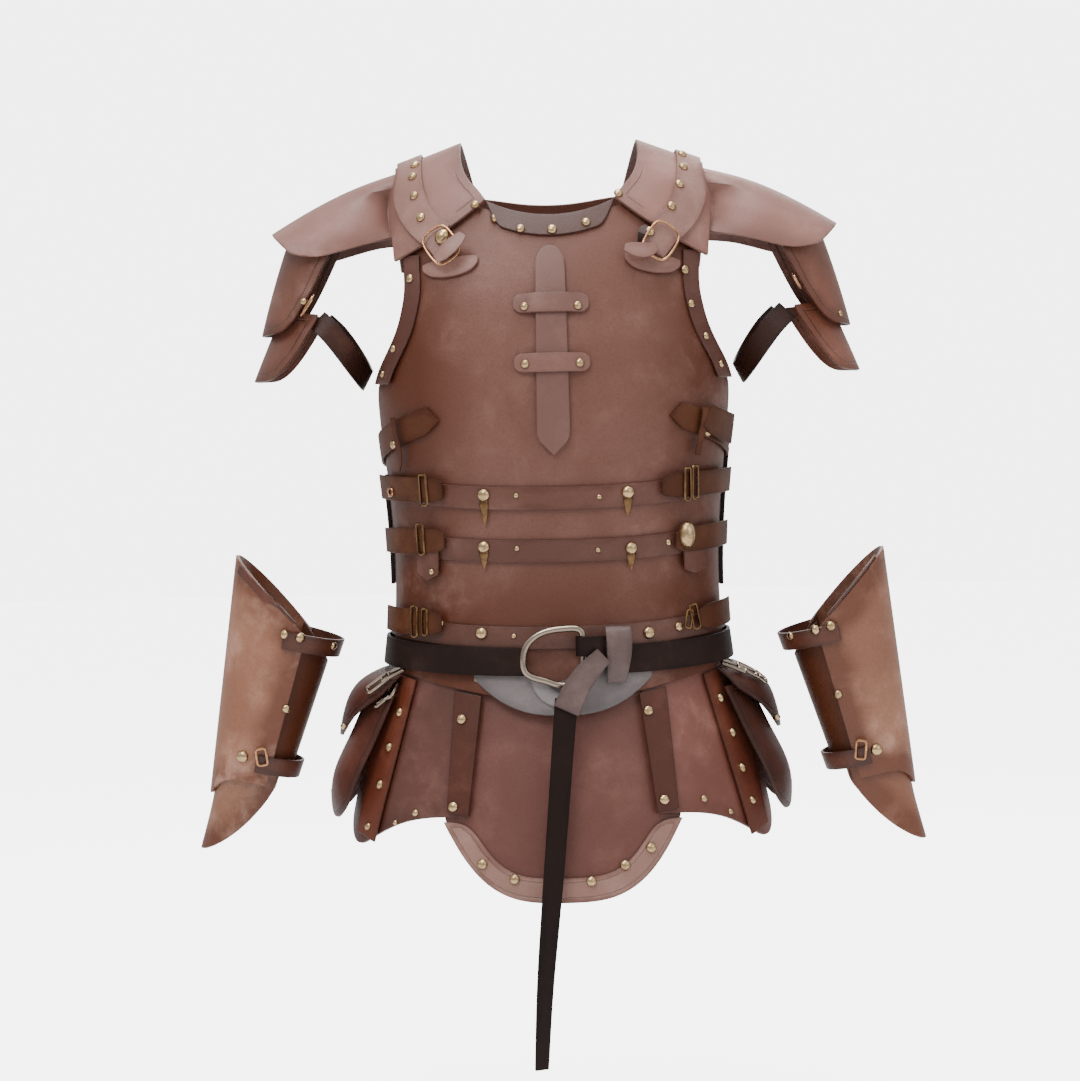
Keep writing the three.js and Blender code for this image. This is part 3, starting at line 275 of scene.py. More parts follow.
# The leathers: base, deeper stain, bloom, and what differs from the usual finish. A name stands for
# that colour in the settings.
LOOKS = {
    # sides, here and in the band and skirt leathers, darkens the flanks: partly the leather's own darker
    # flanks, partly painted shade that leaves the middle paler like a sheen.
    "armour": ("plate", "deep", "bloom",
        dict(sides=0.85, low=0.5, mottle=0.4, gloss=0.24, shade=0.25, reach=0.03, scale=8)),
    # The yoke and the upper pauldron lame have a paler base and bloom than the pauldron below: painted top
    # light on faces that look up, on the same leather.
    "yoke": ((0.225, 0.105, 0.083), "plate", (0.32, 0.178, 0.15),
        dict(line=0.009, line_span=(0.0, 0.088), rough=0.5)),
    "pauldron_top": ((0.225, 0.105, 0.083), "plate", (0.32, 0.178, 0.15), dict(shade=0.4, rough=0.5)),
    "pauldron": ((0.155, 0.055, 0.034), "deep", "bloom", dict(line=0.007)),
    "strap_light": ((0.205, 0.108, 0.088), "plate", (0.32, 0.19, 0.16), dict(shade=0.4, reach=0.006)),
    "tab": ((0.19, 0.095, 0.075), "plate", "bloom", dict(reach=0.006)),
    "tongue": ((0.130, 0.058, 0.046), "plate", "bloom", dict(reach=0.006, shade=0.3)),
    "binding": ((0.062, 0.020, 0.013), (0.05, 0.014, 0.008), (0.10, 0.04, 0.03), dict(reach=0.004)),
    "band": ((0.086, 0.030, 0.019), (0.06, 0.016, 0.008), (0.14, 0.062, 0.047),
        dict(reach=0.005, sides=0.6)),
    "band_end": ((0.060, 0.019, 0.008), (0.035, 0.010, 0.004), (0.115, 0.045, 0.02),
        dict(reach=0.006, gloss=0.12)),
    "side": ((0.075, 0.025, 0.011), (0.045, 0.012, 0.005), (0.13, 0.055, 0.028),
        dict(reach=0.006, gloss=0.12)),
    "closing": ((0.012, 0.005, 0.004), (0.008, 0.004, 0.003), (0.025, 0.012, 0.01), dict(gloss=0.12)),
    "skirt": ((0.118, 0.040, 0.029), (0.062, 0.016, 0.009), (0.19, 0.085, 0.068),
        dict(sides=0.3, shade=0.35)),
    "border": ((0.25, 0.14, 0.112), "plate", (0.34, 0.21, 0.175), dict(line=0.0045, reach=0.005)),
    "strip": ((0.062, 0.0135, 0.006), (0.045, 0.011, 0.005), (0.12, 0.04, 0.024),
        dict(reach=0.006, gloss=0.25)),
    "hip": ((0.072, 0.020, 0.012), (0.026, 0.007, 0.004), (0.12, 0.042, 0.028),
        dict(line=0.006, gloss=0.25)),
    "bracer": ((0.25, 0.112, 0.068), (0.10, 0.03, 0.013), (0.40, 0.23, 0.17),
        dict(shade=0.9, reach=0.035, scale=11, rough=0.42)),
    "gusset": ((0.075, 0.020, 0.008), (0.045, 0.012, 0.005), (0.11, 0.034, 0.016), dict(gloss=0.2)),
    "bracer_strap": ((0.085, 0.022, 0.010), (0.04, 0.011, 0.006), (0.15, 0.05, 0.03), dict(reach=0.005)),
    "belt": ("strap", (0.006, 0.003, 0.0025), (0.03, 0.014, 0.011),
        dict(reach=0.005, rough=0.5, gloss=0.1)),
    "dark_strap": ((0.032, 0.009, 0.005), (0.012, 0.005, 0.004), (0.08, 0.028, 0.016),
        dict(reach=0.005, gloss=0.2)),
    "knot": ((0.078, 0.047, 0.042), (0.042, 0.023, 0.02), (0.13, 0.086, 0.08), dict(reach=0.005)),
    "apron_light": ((0.20, 0.18, 0.176), (0.11, 0.096, 0.095), (0.28, 0.26, 0.25),
        dict(reach=0.004, rough=0.62)),
    "apron": ((0.135, 0.113, 0.111), (0.075, 0.062, 0.062), (0.22, 0.195, 0.19),
        dict(reach=0.01, rough=0.62)),
}
LEATHER_SLOTS = {
    "belt_leather": ("belt", "dark_strap", "closing"),
    "grey_leather": ("apron", "apron_light"),
    "strap_leather": ("band", "band_end", "side", "strip", "binding", "bracer_strap", "gusset"),
}
# The metals, whose bright colours are in the settings: name, share tarnished, tarnish and slot.
METALS = {
    "steel": ("Brushed nickel", 0.25, (0.10, 0.075, 0.055), "ring_steel"),
    "copper": ("Worn copper", 0.6, (0.10, 0.04, 0.02), "buckle_brass"),
    "bronze": ("Dark bronze", 0.5, (0.045, 0.02, 0.009), "buckle_brass"),
    "brass": ("Antique brass", 0.7, (0.14, 0.075, 0.03), "buckle_brass"),
}

# The lights: name, place, size and power.
LIGHTS = (
    ("key", (-0.8, -1.7, 1.6), 1.1, 46),
    ("fill", (1.6, -1.7, 0.4), 1.6, 10),
    ("top", (0, -0.2, 1.9), 1.2, 52),
    ("back", (0.3, 1.9, 0.8), 1.4, 22),
)
LIT_MIDDLE = Vector((0, 0, -0.4))
LOOKED_AT = Vector((-0.0165, 0, -0.385))
CAMERA_RISE = math.radians(3)
CAMERA_TILT = math.radians(-1.2)
FLOOR_DROP = 0.12
FLOOR_SIZE = 16


# ---- what a user may change
def colour(name, description, default):
    return bpy.props.FloatVectorProperty(
        name=name, description=description, default=default, size=3, min=0, max=1, subtype="COLOR")


class ArmourLeathers(bpy.types.PropertyGroup):
    """Colours of the leathers and metals."""

    plate: colour("Plate leather", "Main colour of the breastplate and skirt", (0.130, 0.056, 0.042))
    # The deep colour also darkens the flanks, where it is partly painted shade.
    deep: colour("Deep shade", "Darker stain along sides and edges", (0.062, 0.0155, 0.0055))
    bloom: colour("Bloom", "Paler wax bloom on the raised places", (0.220, 0.112, 0.090))
    strap: colour("Belt leather", "Very dark brown of the belt", (0.013, 0.0055, 0.0042))
    brass: colour("Brass", "Antique brass of rivets and buckles", (0.50, 0.35, 0.19))
    copper: colour("Copper", "Worn copper of the buckle wires", (0.48, 0.25, 0.13))
    bronze: colour("Bronze", "Dark bronze of the band buckles and claws", (0.15, 0.085, 0.04))
    steel: colour("Ring steel", "Brushed nickel of the belt ring", (0.27, 0.215, 0.17))


class ArmourEdges(bpy.types.PropertyGroup):
    """Sizes of the edge finish."""

    rim: bpy.props.FloatProperty(
        name="Rim rounding", description="How far the cut edges are rounded",
        default=0.0007, min=0.0001, max=0.0015, unit="LENGTH")
    burnish: bpy.props.FloatProperty(
        name="Burnished rim", description="Width of the dark polished rim",
        default=0.0013, min=0.0005, max=0.01, unit="LENGTH")
    levels: bpy.props.IntProperty(
        name="Smoothness", description="Subdivision of each sheet", default=2, min=1, max=3)


class ArmourStage(bpy.types.PropertyGroup):
    """Camera and light."""

    distance: bpy.props.FloatProperty(
        name="Camera distance", description="From the camera to the armour", default=2.8, unit="LENGTH")
    lens: bpy.props.FloatProperty(
        name="Lens", description="Focal length in mm", default=93.3, min=20, max=300)
    ambient: bpy.props.FloatProperty(
        name="Room light", description="Strength of the even light all round", default=0.72, min=0, max=5)
    glow: bpy.props.FloatProperty(
        name="Backdrop glow", description="How much brighter the backdrop looks than it lights",
        default=4.2, min=0, max=20)
    floor: colour("Floor", "Colour of the floor and backdrop", (0.93, 0.93, 0.93))


def settings():
    return bpy.context.scene.armour_leathers, bpy.context.scene.armour_edges, bpy.context.scene.armour_stage


# ---- shader groups
# Where the darker flanks begin and end, in m from the middle; the darkening is partly painted shade.
FLANK = (0.06, 0.16)
BELLY = (-0.37, -0.46)
LINE_FADE = 0.006
LINE_WIDTH = 0.0011


class Tree:
    """Short ways to add nodes to a tree and join them."""

    def __init__(self, tree):
        self.tree = tree

    def node(self, kind, **values):
        made = self.tree.nodes.new("ShaderNode" + kind)
        for key, value in values.items():
            setattr(made, key, value)
        return made

    def put(self, socket, value):
        if isinstance(value, bpy.types.NodeSocket):
            self.tree.links.new(value, socket)
        else:
            socket.default_value = value

    def math(self, operation, a, b=0.0, clamp=False):
        made = self.node("Math", operation=operation, use_clamp=clamp)
        self.put(made.inputs[0], a)
        self.put(made.inputs[1], b)
        return made.outputs[0]

    def times(self, a, b):
        return self.math("MULTIPLY", a, b)

    def plus(self, a, b, clamp=False):
        return self.math("ADD", a, b, clamp)

    def minus(self, a, b):
        return self.math("SUBTRACT", a, b)

    def between(self, value, low, high, to_low=0.0, to_high=1.0):
        made = self.node("MapRange", interpolation_type="SMOOTHSTEP")
        for socket, given in zip(made.inputs[:5], (value, low, high, to_low, to_high)):
            self.put(socket, given)
        return made.outputs[0]

    def mix(self, factor, a, b):
        made = self.node("Mix", data_type="RGBA")
        for socket, given in zip((made.inputs[0], made.inputs[6], made.inputs[7]), (factor, a, b)):
            self.put(socket, given)
        return made.outputs[2]

    def noise(self, scale, detail=4.0, roughness=0.55, distortion=0.0):
        made = self.node("TexNoise")
        values = {"Scale": scale, "Detail": detail, "Roughness": roughness, "Distortion": distortion}
        for key, given in values.items():
            self.put(made.inputs[key], given)
        self.put(made.inputs["Vector"], self.node("TexCoord").outputs["Object"])
        return made.outputs["Fac"]

    def bump(self, shader, height, strength, distance):
        made = self.node("Bump")
        for key, given in {"Strength": strength, "Distance": distance, "Height": height}.items():
            self.put(made.inputs[key], given)
        self.put(shader.inputs["Normal"], made.outputs[0])


def new_group(name, inputs, outputs):
    """A node group, its inputs given with their values: four numbers for a colour, else one."""
    tree = bpy.data.node_groups.new(name, "ShaderNodeTree")
    for key, value in inputs.items():
        kind = "NodeSocketColor" if isinstance(value, tuple) else "NodeSocketFloat"
        tree.interface.new_socket(key, in_out="INPUT", socket_type=kind).default_value = value
    for key in outputs:
        kind = "NodeSocketColor" if key == "Color" else "NodeSocketFloat"
        tree.interface.new_socket(key, in_out="OUTPUT", socket_type=kind)
    return Tree(tree), tree.nodes.new("NodeGroupInput").outputs, tree.nodes.new("NodeGroupOutput").inputs


def hide_group():
    """Stained hide: a base that drifts to a deeper stain and lifts to a pale bloom."""
    t, g, out = new_group(
        "Stained Hide",
        {"Base": (0.2, 0.1, 0.07, 1), "Deep": (0.1, 0.03, 0.02, 1), "Bloom": (0.3, 0.18, 0.15, 1),
         "Scale": 9.0, "Mottle": 0.6, "Deepen": 0.0},
        ["Color"])
    cloud = t.noise(g["Scale"], 3.0, 0.5, 0.4)
    patch = t.between(cloud, 0.38, 0.68)
    small = t.noise(t.times(g["Scale"], 4.2), 5.0, 0.6, 0.3)
    haze = t.times(t.between(small, 0.42, 0.72), t.times(patch, g["Mottle"]))
    stain = t.times(t.minus(1.0, patch), t.times(g["Mottle"], 0.8))
    # Deepen brings the darkening made in leather(): the edge stain and the darker flanks, which are partly
    # painted shade.
    stain = t.plus(stain, g["Deepen"], clamp=True)
    color = t.mix(stain, g["Base"], g["Deep"])
    color = t.mix(haze, color, g["Bloom"])
    fibre = t.noise(420.0, 3.0, 0.6)
    color = t.mix(t.between(fibre, 0.35, 0.75, 0.0, 0.22), color, g["Deep"])
    t.put(out["Color"], color)
    return t.tree


def grain_group():
    """Fine pebble grain with long soft wrinkles, as a height."""
    t, _, out = new_group("Leather Grain", {}, ["Height"])
    cells = t.node("TexVoronoi", feature="SMOOTH_F1")
    t.put(cells.inputs["Vector"], t.node("TexCoord").outputs["Object"])
    t.put(cells.inputs["Scale"], 900.0)
    t.put(cells.inputs["Smoothness"], 0.6)
    pebble = t.times(t.between(cells.outputs["Distance"], 0.1, 0.8), -0.35)
    rough = t.times(t.noise(260.0, 4.0, 0.6), 0.5)
    soft = t.times(t.noise(34.0, 3.0, 0.5, 0.8), 1.1)
    t.put(out["Height"], t.plus(t.plus(pebble, rough), soft))
    return t.tree


def edge_group():
    """Masks from the distance to the cut edge: a burnished rim, a tooled line and a soft shade."""
    t, g, out = new_group(
        "Edge Finish", {"Burnish": 0.002, "Line": 0.008, "Shade": 0.02},
        ["Burnish", "Line", "Shade"])
    edge = t.node("Attribute", attribute_name="edge").outputs["Fac"]
    ragged = t.plus(edge, t.times(t.minus(t.noise(120.0, 2.0), 0.5), 0.0012))
    full = t.times(g["Burnish"], 0.35)
    t.put(out["Burnish"], t.between(ragged, full, g["Burnish"], 1.0, 0.0))
    away = t.math("ABSOLUTE", t.minus(edge, g["Line"]))
    t.put(out["Line"], t.between(away, 0.2 * LINE_WIDTH, LINE_WIDTH, 1.0, 0.0))
    broad = t.plus(edge, t.times(t.minus(t.noise(22.0, 3.0), 0.5), 0.02))
    t.put(out["Shade"], t.between(broad, 0.0, g["Shade"], 1.0, 0.0))
    return t.tree


def tarnish_group():
    """Old metal: a bright face with darker tarnish in blots and specks."""
    t, g, out = new_group(
        "Tarnish", {"Bright": (0.6, 0.45, 0.24, 1), "Dull": (0.16, 0.09, 0.04, 1), "Amount": 0.5},
        ["Color", "Roughness", "Height"])
    blot = t.noise(160.0, 4.0, 0.6, 0.3)
    speck = t.noise(900.0, 3.0, 0.6)
    spots = t.plus(blot, t.times(speck, 0.4))
    mask = t.times(t.between(spots, 0.55, 0.95), g["Amount"])
    t.put(out["Color"], t.mix(mask, g["Bright"], g["Dull"]))
    t.put(out["Roughness"], t.between(mask, 0.0, 0.6, 0.2, 0.38))
    t.put(out["Height"], speck)
    return t.tree


def use_group(t, name, make, **values):
    made = t.node("Group")
    made.node_tree = bpy.data.node_groups.get(name) or make()
    for key, value in values.items():
        t.put(made.inputs[key], value)
    return made.outputs


def new_material(name):
    material = bpy.data.materials.new(name)
    material.use_nodes = True
    t = Tree(material.node_tree)
    return material, t, material.node_tree.nodes["Principled BSDF"]


def rgba(color, factor=1.0):
    return (*(min(1.0, c * factor) for c in color), 1.0)


def leather(name, base, deep, bloom, scale=9.0, mottle=0.6, shade=0.5, reach=0.02,
            line=None, line_span=None, rough=0.46, gloss=0.35, sides=0.0, low=0.0):
    """A leather material. shade is the stain along the cut edge and reach its width in m, sides deepens it
    towards the flanks of the torso, partly the leather's own darker flanks and partly painted shade that
    leaves the middle paler like a sheen, and low below the chest, line is the tooled line's distance from
    the edge and line_span the distances from the middle between which it runs."""
    if name in bpy.data.materials:
        return bpy.data.materials[name]
    _, edges, _ = settings()
    material, t, shader = new_material(name)
    rim = use_group(
        t, "Edge Finish", edge_group, Burnish=edges.burnish, Line=line or 0.008, Shade=reach)
    deepen = t.times(rim["Shade"], shade)
    place = t.node("SeparateXYZ")
    t.put(place.inputs[0], t.node("TexCoord").outputs["Object"])
    aside = t.math("ABSOLUTE", place.outputs["X"])
    # The darker flanks are partly painted shade that leaves the middle of the chest paler, as a sheen
    # would, and partly the leather's own redder flanks.
    if sides:
        flank = t.between(aside, *FLANK, 0.0, sides)
        deepen = t.plus(deepen, flank, clamp=True)
    if low:
        fall = t.between(place.outputs["Z"], *BELLY, 0.0, low)
        deepen = t.plus(deepen, fall, clamp=True)
    hide = use_group(t, "Stained Hide", hide_group, Base=rgba(base), Deep=rgba(deep), Bloom=rgba(bloom),
                     Scale=scale, Mottle=mottle, Deepen=deepen)
    color = t.mix(t.times(rim["Burnish"], 0.5), hide["Color"], rgba(deep, 0.6))
    height = t.times(use_group(t, "Leather Grain", grain_group)["Height"], 0.5)
    if line:
        tooled = rim["Line"]
        if line_span:
            begins = t.between(aside, line_span[0], line_span[0] + LINE_FADE)
            ends = t.between(aside, line_span[1], line_span[1] + LINE_FADE, 1.0, 0.0)
            tooled = t.times(tooled, t.times(begins, ends))
        color = t.mix(t.times(tooled, 0.35), color, rgba(deep, 0.7))
        height = t.minus(height, t.times(tooled, 2.0))
    t.put(shader.inputs["Base Color"], color)
    worn = t.times(t.noise(60.0, 4.0, 0.6), 0.2)
    t.put(shader.inputs["Roughness"], t.plus(worn, rough - 0.1))
    t.put(shader.inputs["Specular IOR Level"], gloss)
    t.bump(shader, height, 0.7, 0.0006)
    return material


def metal(name, bright, amount, dull):
    if name in bpy.data.materials:
        return bpy.data.materials[name]
    material, t, shader = new_material(name)
    made = use_group(t, "Tarnish", tarnish_group, Bright=rgba(bright), Dull=rgba(dull), Amount=amount)
    t.put(shader.inputs["Base Color"], made["Color"])
    t.put(shader.inputs["Roughness"], made["Roughness"])
    t.put(shader.inputs["Metallic"], 1.0)
    t.bump(shader, made["Height"], 0.08, 0.0003)
    return material


def metal_of(kind):
    """The material and the record's slot for each kind of metal."""
    colours, _, _ = settings()
    name, tarnished, dull, slot = METALS[kind]
    return metal(name, getattr(colours, kind), tarnished, dull), slot


def finish_of(kind, tone=1.0):
    """The material and the record's slot for each kind of leather, its colours scaled by a factor of
    painted
    light and shade: above 1 a painted lit copy of the leather, below 1 a painted shaded copy.
    """
    colours, _, _ = settings()
    *stains, more = LOOKS[kind]
    stains = [getattr(colours, stain) if isinstance(stain, str) else stain for stain in stains]
    # Painted light and shade: the colours are scaled up for a lit copy and down for a shaded copy.
    stains = [tuple(c * tone for c in stain) for stain in stains]
    name = f"Leather {kind.replace('_', ' ')}"
    # The material's name marks the painted light and shade copy by its factor.
    if tone != 1.0:
        name += f" tone {tone:.2f}"
    slot = next((slot for slot, kinds in LEATHER_SLOTS.items() if kind in kinds), "armour_leather")
    return leather(name, *stains, **more), slot


# ---- making the sheets
RIM_STEP = 0.0015
RIM_ANGLE = math.radians(50)
WELD = 0.00002
METAL_LEVELS = 2
STRIP_SHARES = (-0.5, -0.2, 0.2, 0.5)
STRIP_CLING = 0.7


def select_only(*pieces):
    bpy.ops.object.select_all(action="DESELECT")
    for piece in pieces:
        piece.select_set(True)
    bpy.context.view_layer.objects.active = pieces[0]


def rim_points(bm):
    """The sharp edges of a sheet, and points along them."""
    sharp = [e for e in bm.edges if e.is_manifold and e.calc_face_angle(0) > RIM_ANGLE]
    points = []
    for e in sharp:
        a, b = (v.co for v in e.verts)
        count = max(1, math.ceil((b - a).length / RIM_STEP))
        points += [a.lerp(b, k / count) for k in range(count + 1)]
    return sharp, points


def mark_edge_distance(mesh, points):
    """Keeps each point's distance to the cut edge in the attribute edge."""
    tree = KDTree(len(points))
    for k, p in enumerate(points):
        tree.insert(p, k)
    tree.balance()
    kept = mesh.attributes.new("edge", "FLOAT", "POINT")
    kept.data.foreach_set("value", [tree.find(v.co)[2] for v in mesh.vertices])


def new_piece(name, data):
    """An object for a mesh, a light or a camera, linked to the scene."""
    piece = bpy.data.objects.new(name, data)
    bpy.context.scene.collection.objects.link(piece)
    return piece


def copy_of_solid(node, name):
    """A copy of a plain solid, with its triangles joined into quads."""
    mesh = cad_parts[node].data.copy()
    mesh.materials.clear()
    bm = bmesh.new()
    bm.from_mesh(mesh)
    bmesh.ops.remove_doubles(bm, verts=bm.verts, dist=WELD)
    bmesh.ops.join_triangles(
        bm, faces=bm.faces, cmp_seam=False, cmp_sharp=False, cmp_uvs=False, cmp_vcols=False,
        cmp_materials=False, angle_face_threshold=math.radians(60), angle_shape_threshold=math.radians(80))
    bm.to_mesh(mesh)
    bm.free()
    return new_piece(name, mesh)


def smooth_skin(piece, levels):
    select_only(piece)
    smooth = piece.modifiers.new("Smooth skin", "SUBSURF")
    smooth.levels = smooth.render_levels = levels
    bpy.ops.object.modifier_apply(modifier=smooth.name)
    bpy.ops.object.shade_smooth()


def dress(piece, kind, tone=1.0):
    """Rounds a sheet's rims, smooths its skin and gives it its leather, painted paler or darker to stand in
    for light and shade.
    """
    _, edges, _ = settings()
    bm = bmesh.new()
    bm.from_mesh(piece.data)
    sharp, points = rim_points(bm)
    bmesh.ops.bevel(bm, geom=sharp, offset=edges.rim, segments=2, profile=0.6, affect="EDGES")
    bm.to_mesh(piece.data)
    bm.free()
    smooth_skin(piece, edges.levels)
    mark_edge_distance(piece.data, points)
    material, slot = finish_of(kind, tone)
    piece.data.materials.append(material)
    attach(piece, "root")


def finish_cut(pattern):
    kind, width, length, area, held, below = CUTS[pattern]
    for side in ("left", "right") if "*" in pattern else ("",):
        name = pattern.replace("*", side)
        piece = copy_of_solid(name, "leather_" + name)
        # Each piece gets its factor of painted light and shade: paler where it is lit, darker where it is
        # shaded.
        dress(piece, kind, PAINTED_LIGHT_TONES.get(name, 1.0))
        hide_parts(name)


TREES = {}


def drawn_on(piece_name, place):
    """The point of a leather piece nearest to a place in mm, and the way its face looks."""
    tree = TREES.get(piece_name)
    if tree is None:
        piece = bpy.data.objects["leather_" + piece_name]
        tree = TREES[piece_name] = BVHTree.FromObject(piece, bpy.context.evaluated_depsgraph_get())
    point, normal, _, _ = tree.find_nearest(Vector(place) * MM)
    return point, normal


def sheet_mesh(name, outer, inner):
    """A closed wall between two grids of points."""
    rows, columns = len(outer), len(outer[0])
    points = [p for grid in (outer, inner) for row in grid for p in row]

    def at(side, i, j):
        return (side * rows + j) * columns + i

    faces = []
    for j in range(rows - 1):
        for i in range(columns - 1):
            faces.append((at(0, i, j), at(0, i + 1, j), at(0, i + 1, j + 1), at(0, i, j + 1)))
            faces.append((at(1, i, j), at(1, i, j + 1), at(1, i + 1, j + 1), at(1, i + 1, j)))
    for j, turn in ((0, 1), (rows - 1, -1)):
        for i in range(columns - 1):
            faces.append((at(0, i, j), at(1, i, j), at(1, i + 1, j), at(0, i + 1, j))[::turn])
    for i, turn in ((0, -1), (columns - 1, 1)):
        for j in range(rows - 1):
            faces.append((at(0, i, j), at(1, i, j), at(1, i, j + 1), at(0, i, j + 1))[::turn])
    mesh = bpy.data.meshes.new(name)
    mesh.from_pydata(points, [], faces)
    bm = bmesh.new()
    bm.from_mesh(mesh)
    bmesh.ops.recalc_face_normals(bm, faces=bm.faces)
    bm.to_mesh(mesh)
    bm.free()
    return mesh


def lay_strip(name):
    """A small strap that follows the piece below it."""
    kind, below, wall, rows = STRIPS[name]
    middles = []
    for x, y, z, width, lift in rows:
        point, normal = drawn_on(below, (x, y, z))
        middles.append((point + normal * lift * MM, normal, width * MM, lift * MM))
    outer, inner = [], []
    for k, (middle, normal, width, lift) in enumerate(middles):
        before, after = middles[max(k - 1, 0)][0], middles[min(k + 1, len(middles) - 1)][0]
        across = (after - before).cross(normal).normalized() * width
        line = []
        for share in STRIP_SHARES:
            flat = middle + across * share
            sunk = drawn_on(below, tuple(flat / MM))[0]
            line.append(flat.lerp(sunk + normal * lift, STRIP_CLING))
        inner.append(line)
        outer.append([p + normal * wall * MM for p in line])
    piece = new_piece("leather_" + name, sheet_mesh(name, outer, inner))
    dress(piece, kind)


# ---- making the metal
def upright(normal, up=Vector((0, 0, 1))):
    """The turn that stands a piece on a face: its Z along the normal, its Y as near up as it can be."""
    z = normal.normalized()
    x = up.cross(z).normalized()
    y = z.cross(x)
    return Matrix((x, y, z)).transposed().to_4x4()


def copy_to(template, name, point, normal, turn=0.0, size=(1, 1, 1)):
    mesh = template.data.copy()
    shaped = Matrix.Rotation(turn, 4, "Z") @ Matrix.Diagonal((*size, 1))
    mesh.transform(Matrix.Translation(point) @ upright(normal) @ shaped)
    return new_piece(name, mesh)


def join(pieces, name):
    select_only(*pieces)
    if len(pieces) > 1:
        bpy.ops.object.join()
    pieces[0].name = name
    return pieces[0]


def ride_metal(piece, material, slot):
    piece.data.materials.clear()
    piece.data.materials.append(material)
    select_only(piece)
    bpy.ops.object.shade_smooth_by_angle(angle=math.radians(40))
    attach(piece, "root")


def rivet_head():
    """A domed rivet 1 m across, to be scaled: a low dome with a small foot."""
    bpy.ops.mesh.primitive_uv_sphere_add(segments=16, ring_count=10, radius=0.5)
    head = bpy.context.object
    bpy.ops.object.mode_set(mode="EDIT")
    bpy.ops.mesh.select_all(action="SELECT")
    bpy.ops.mesh.bisect(plane_co=(0, 0, 0.02), plane_no=(0, 0, 1), clear_inner=True, use_fill=True)
    bpy.ops.mesh.extrude_region_move(TRANSFORM_OT_translate={"value": (0, 0, -0.12)})
    bpy.ops.mesh.select_all(action="SELECT")
    bpy.ops.transform.resize(value=(1, 1, 0.66))
    bpy.ops.object.mode_set(mode="OBJECT")
    return head


def wire_frame(width, height, wire, corner):
    """An oblong frame of round wire: a ring whose quarters are drawn apart."""
    bpy.ops.mesh.primitive_torus_add(
        major_segments=20, minor_segments=8, major_radius=corner, minor_radius=wire)
    frame_piece = bpy.context.object
    for axis, reach in ((0, width / 2 - corner), (1, height / 2 - corner)):
        for side in (-1, 1):
            select_where(frame_piece, lambda co: co[axis] * side > 1e-5)
            move = [0.0, 0.0, 0.0]
            move[axis] = reach * side
            bpy.ops.transform.translate(value=move)
            bpy.ops.object.mode_set(mode="OBJECT")
    return frame_piece


def select_where(piece, test):
    """Enters edit mode with only the points that pass the test selected."""
    bpy.ops.object.mode_set(mode="EDIT")
    bpy.ops.mesh.select_all(action="DESELECT")
    bpy.ops.object.mode_set(mode="OBJECT")
    for vertex in piece.data.vertices:
        vertex.select = test(vertex.co)
    bpy.ops.object.mode_set(mode="EDIT")


def claw():
    """A claw 1 m long that hangs below its stud: widest at the stud and drawn to a point."""
    bpy.ops.mesh.primitive_uv_sphere_add(segments=12, ring_count=12, radius=0.5)
    made = bpy.context.object
    bpy.ops.object.mode_set(mode="EDIT")
    bpy.ops.mesh.select_all(action="SELECT")
    bpy.ops.transform.rotate(value=math.pi / 2, orient_axis="X", center_override=(0, 0, 0))
    bpy.ops.transform.translate(value=(0, -0.25, 0))
    bpy.ops.object.mode_set(mode="OBJECT")
    for top, size, middle in (
        (-0.2, (0.85, 1, 0.85), -0.75), (-0.35, (0.8, 1, 0.8), -0.75), (-0.5, (0.75, 1, 0.75), -0.75),
        (-0.62, (0.65, 1, 0.65), -0.75), (-0.3, (1, 1.45, 1), -0.3),
    ):
        select_where(made, lambda co: co.y < top)
        bpy.ops.transform.resize(value=size, center_override=(0, middle, 0))
        bpy.ops.object.mode_set(mode="OBJECT")
    return made


# ---- operators
class Piece(bpy.types.Operator):
    """One group of pieces."""

    bl_idname = "armour.piece"
    bl_label = "Piece"
    cuts = ()

    def execute(self, context):
        for pattern in self.cuts:
            finish_cut(pattern)
        return {"FINISHED"}


class ARMOUR_OT_cuirass(Piece):
    """Finish the breastplate, the backplate and their edge bindings"""

    bl_idname = "armour.cuirass"
    bl_label = "Cuirass"
    cuts = ("breastplate", "backplate", "neck_binding", "armhole_binding_*")


class ARMOUR_OT_shoulders(Piece):
    """Finish the shoulder yokes with their straps and tabs"""

    bl_idname = "armour.shoulders"
    bl_label = "Shoulder yokes"
    cuts = ("yoke_*", "shoulder_strap_*", "shoulder_tab_*")


class ARMOUR_OT_pauldrons(Piece):
    """Finish the three lames of each pauldron and the strap round the arm"""

    bl_idname = "armour.pauldrons"
    bl_label = "Pauldrons"
    cuts = ("pauldron_upper_*", "pauldron_middle_*", "pauldron_lower_*", "arm_strap_*")


class ARMOUR_OT_tongue(Piece):
    """Finish the chest tongue and its two keepers"""

    bl_idname = "armour.tongue"
    bl_label = "Chest tongue"
    cuts = ("chest_tongue", "chest_keeper_upper", "chest_keeper_lower")


class ARMOUR_OT_bands(Piece):
    """Finish the waist bands and the side straps"""

    bl_idname = "armour.bands"
    bl_label = "Waist bands"
    cuts = ("waist_band_upper", "waist_band_middle", "waist_band_lower", "side_strap_*", "band_tab_*")


class ARMOUR_OT_belt(Piece):
    """Finish the belt, its knot and hanging end, and the apron below it"""

    bl_idname = "armour.belt"
    bl_label = "Belt"
    cuts = ("belt", "belt_loop", "belt_flap", "belt_tail", "belly_apron")


class ARMOUR_OT_skirt(Piece):
    """Finish the tassets, their border and strips, and the hip lames"""

    bl_idname = "armour.skirt"
    bl_label = "Skirt"
    cuts = ("tasset_centre", "tasset_border", "tasset_back", "tasset_side_*", "tasset_inner_strip_*",
            "tasset_outer_strip_*", "hip_lame_upper_*", "hip_lame_lower_*")


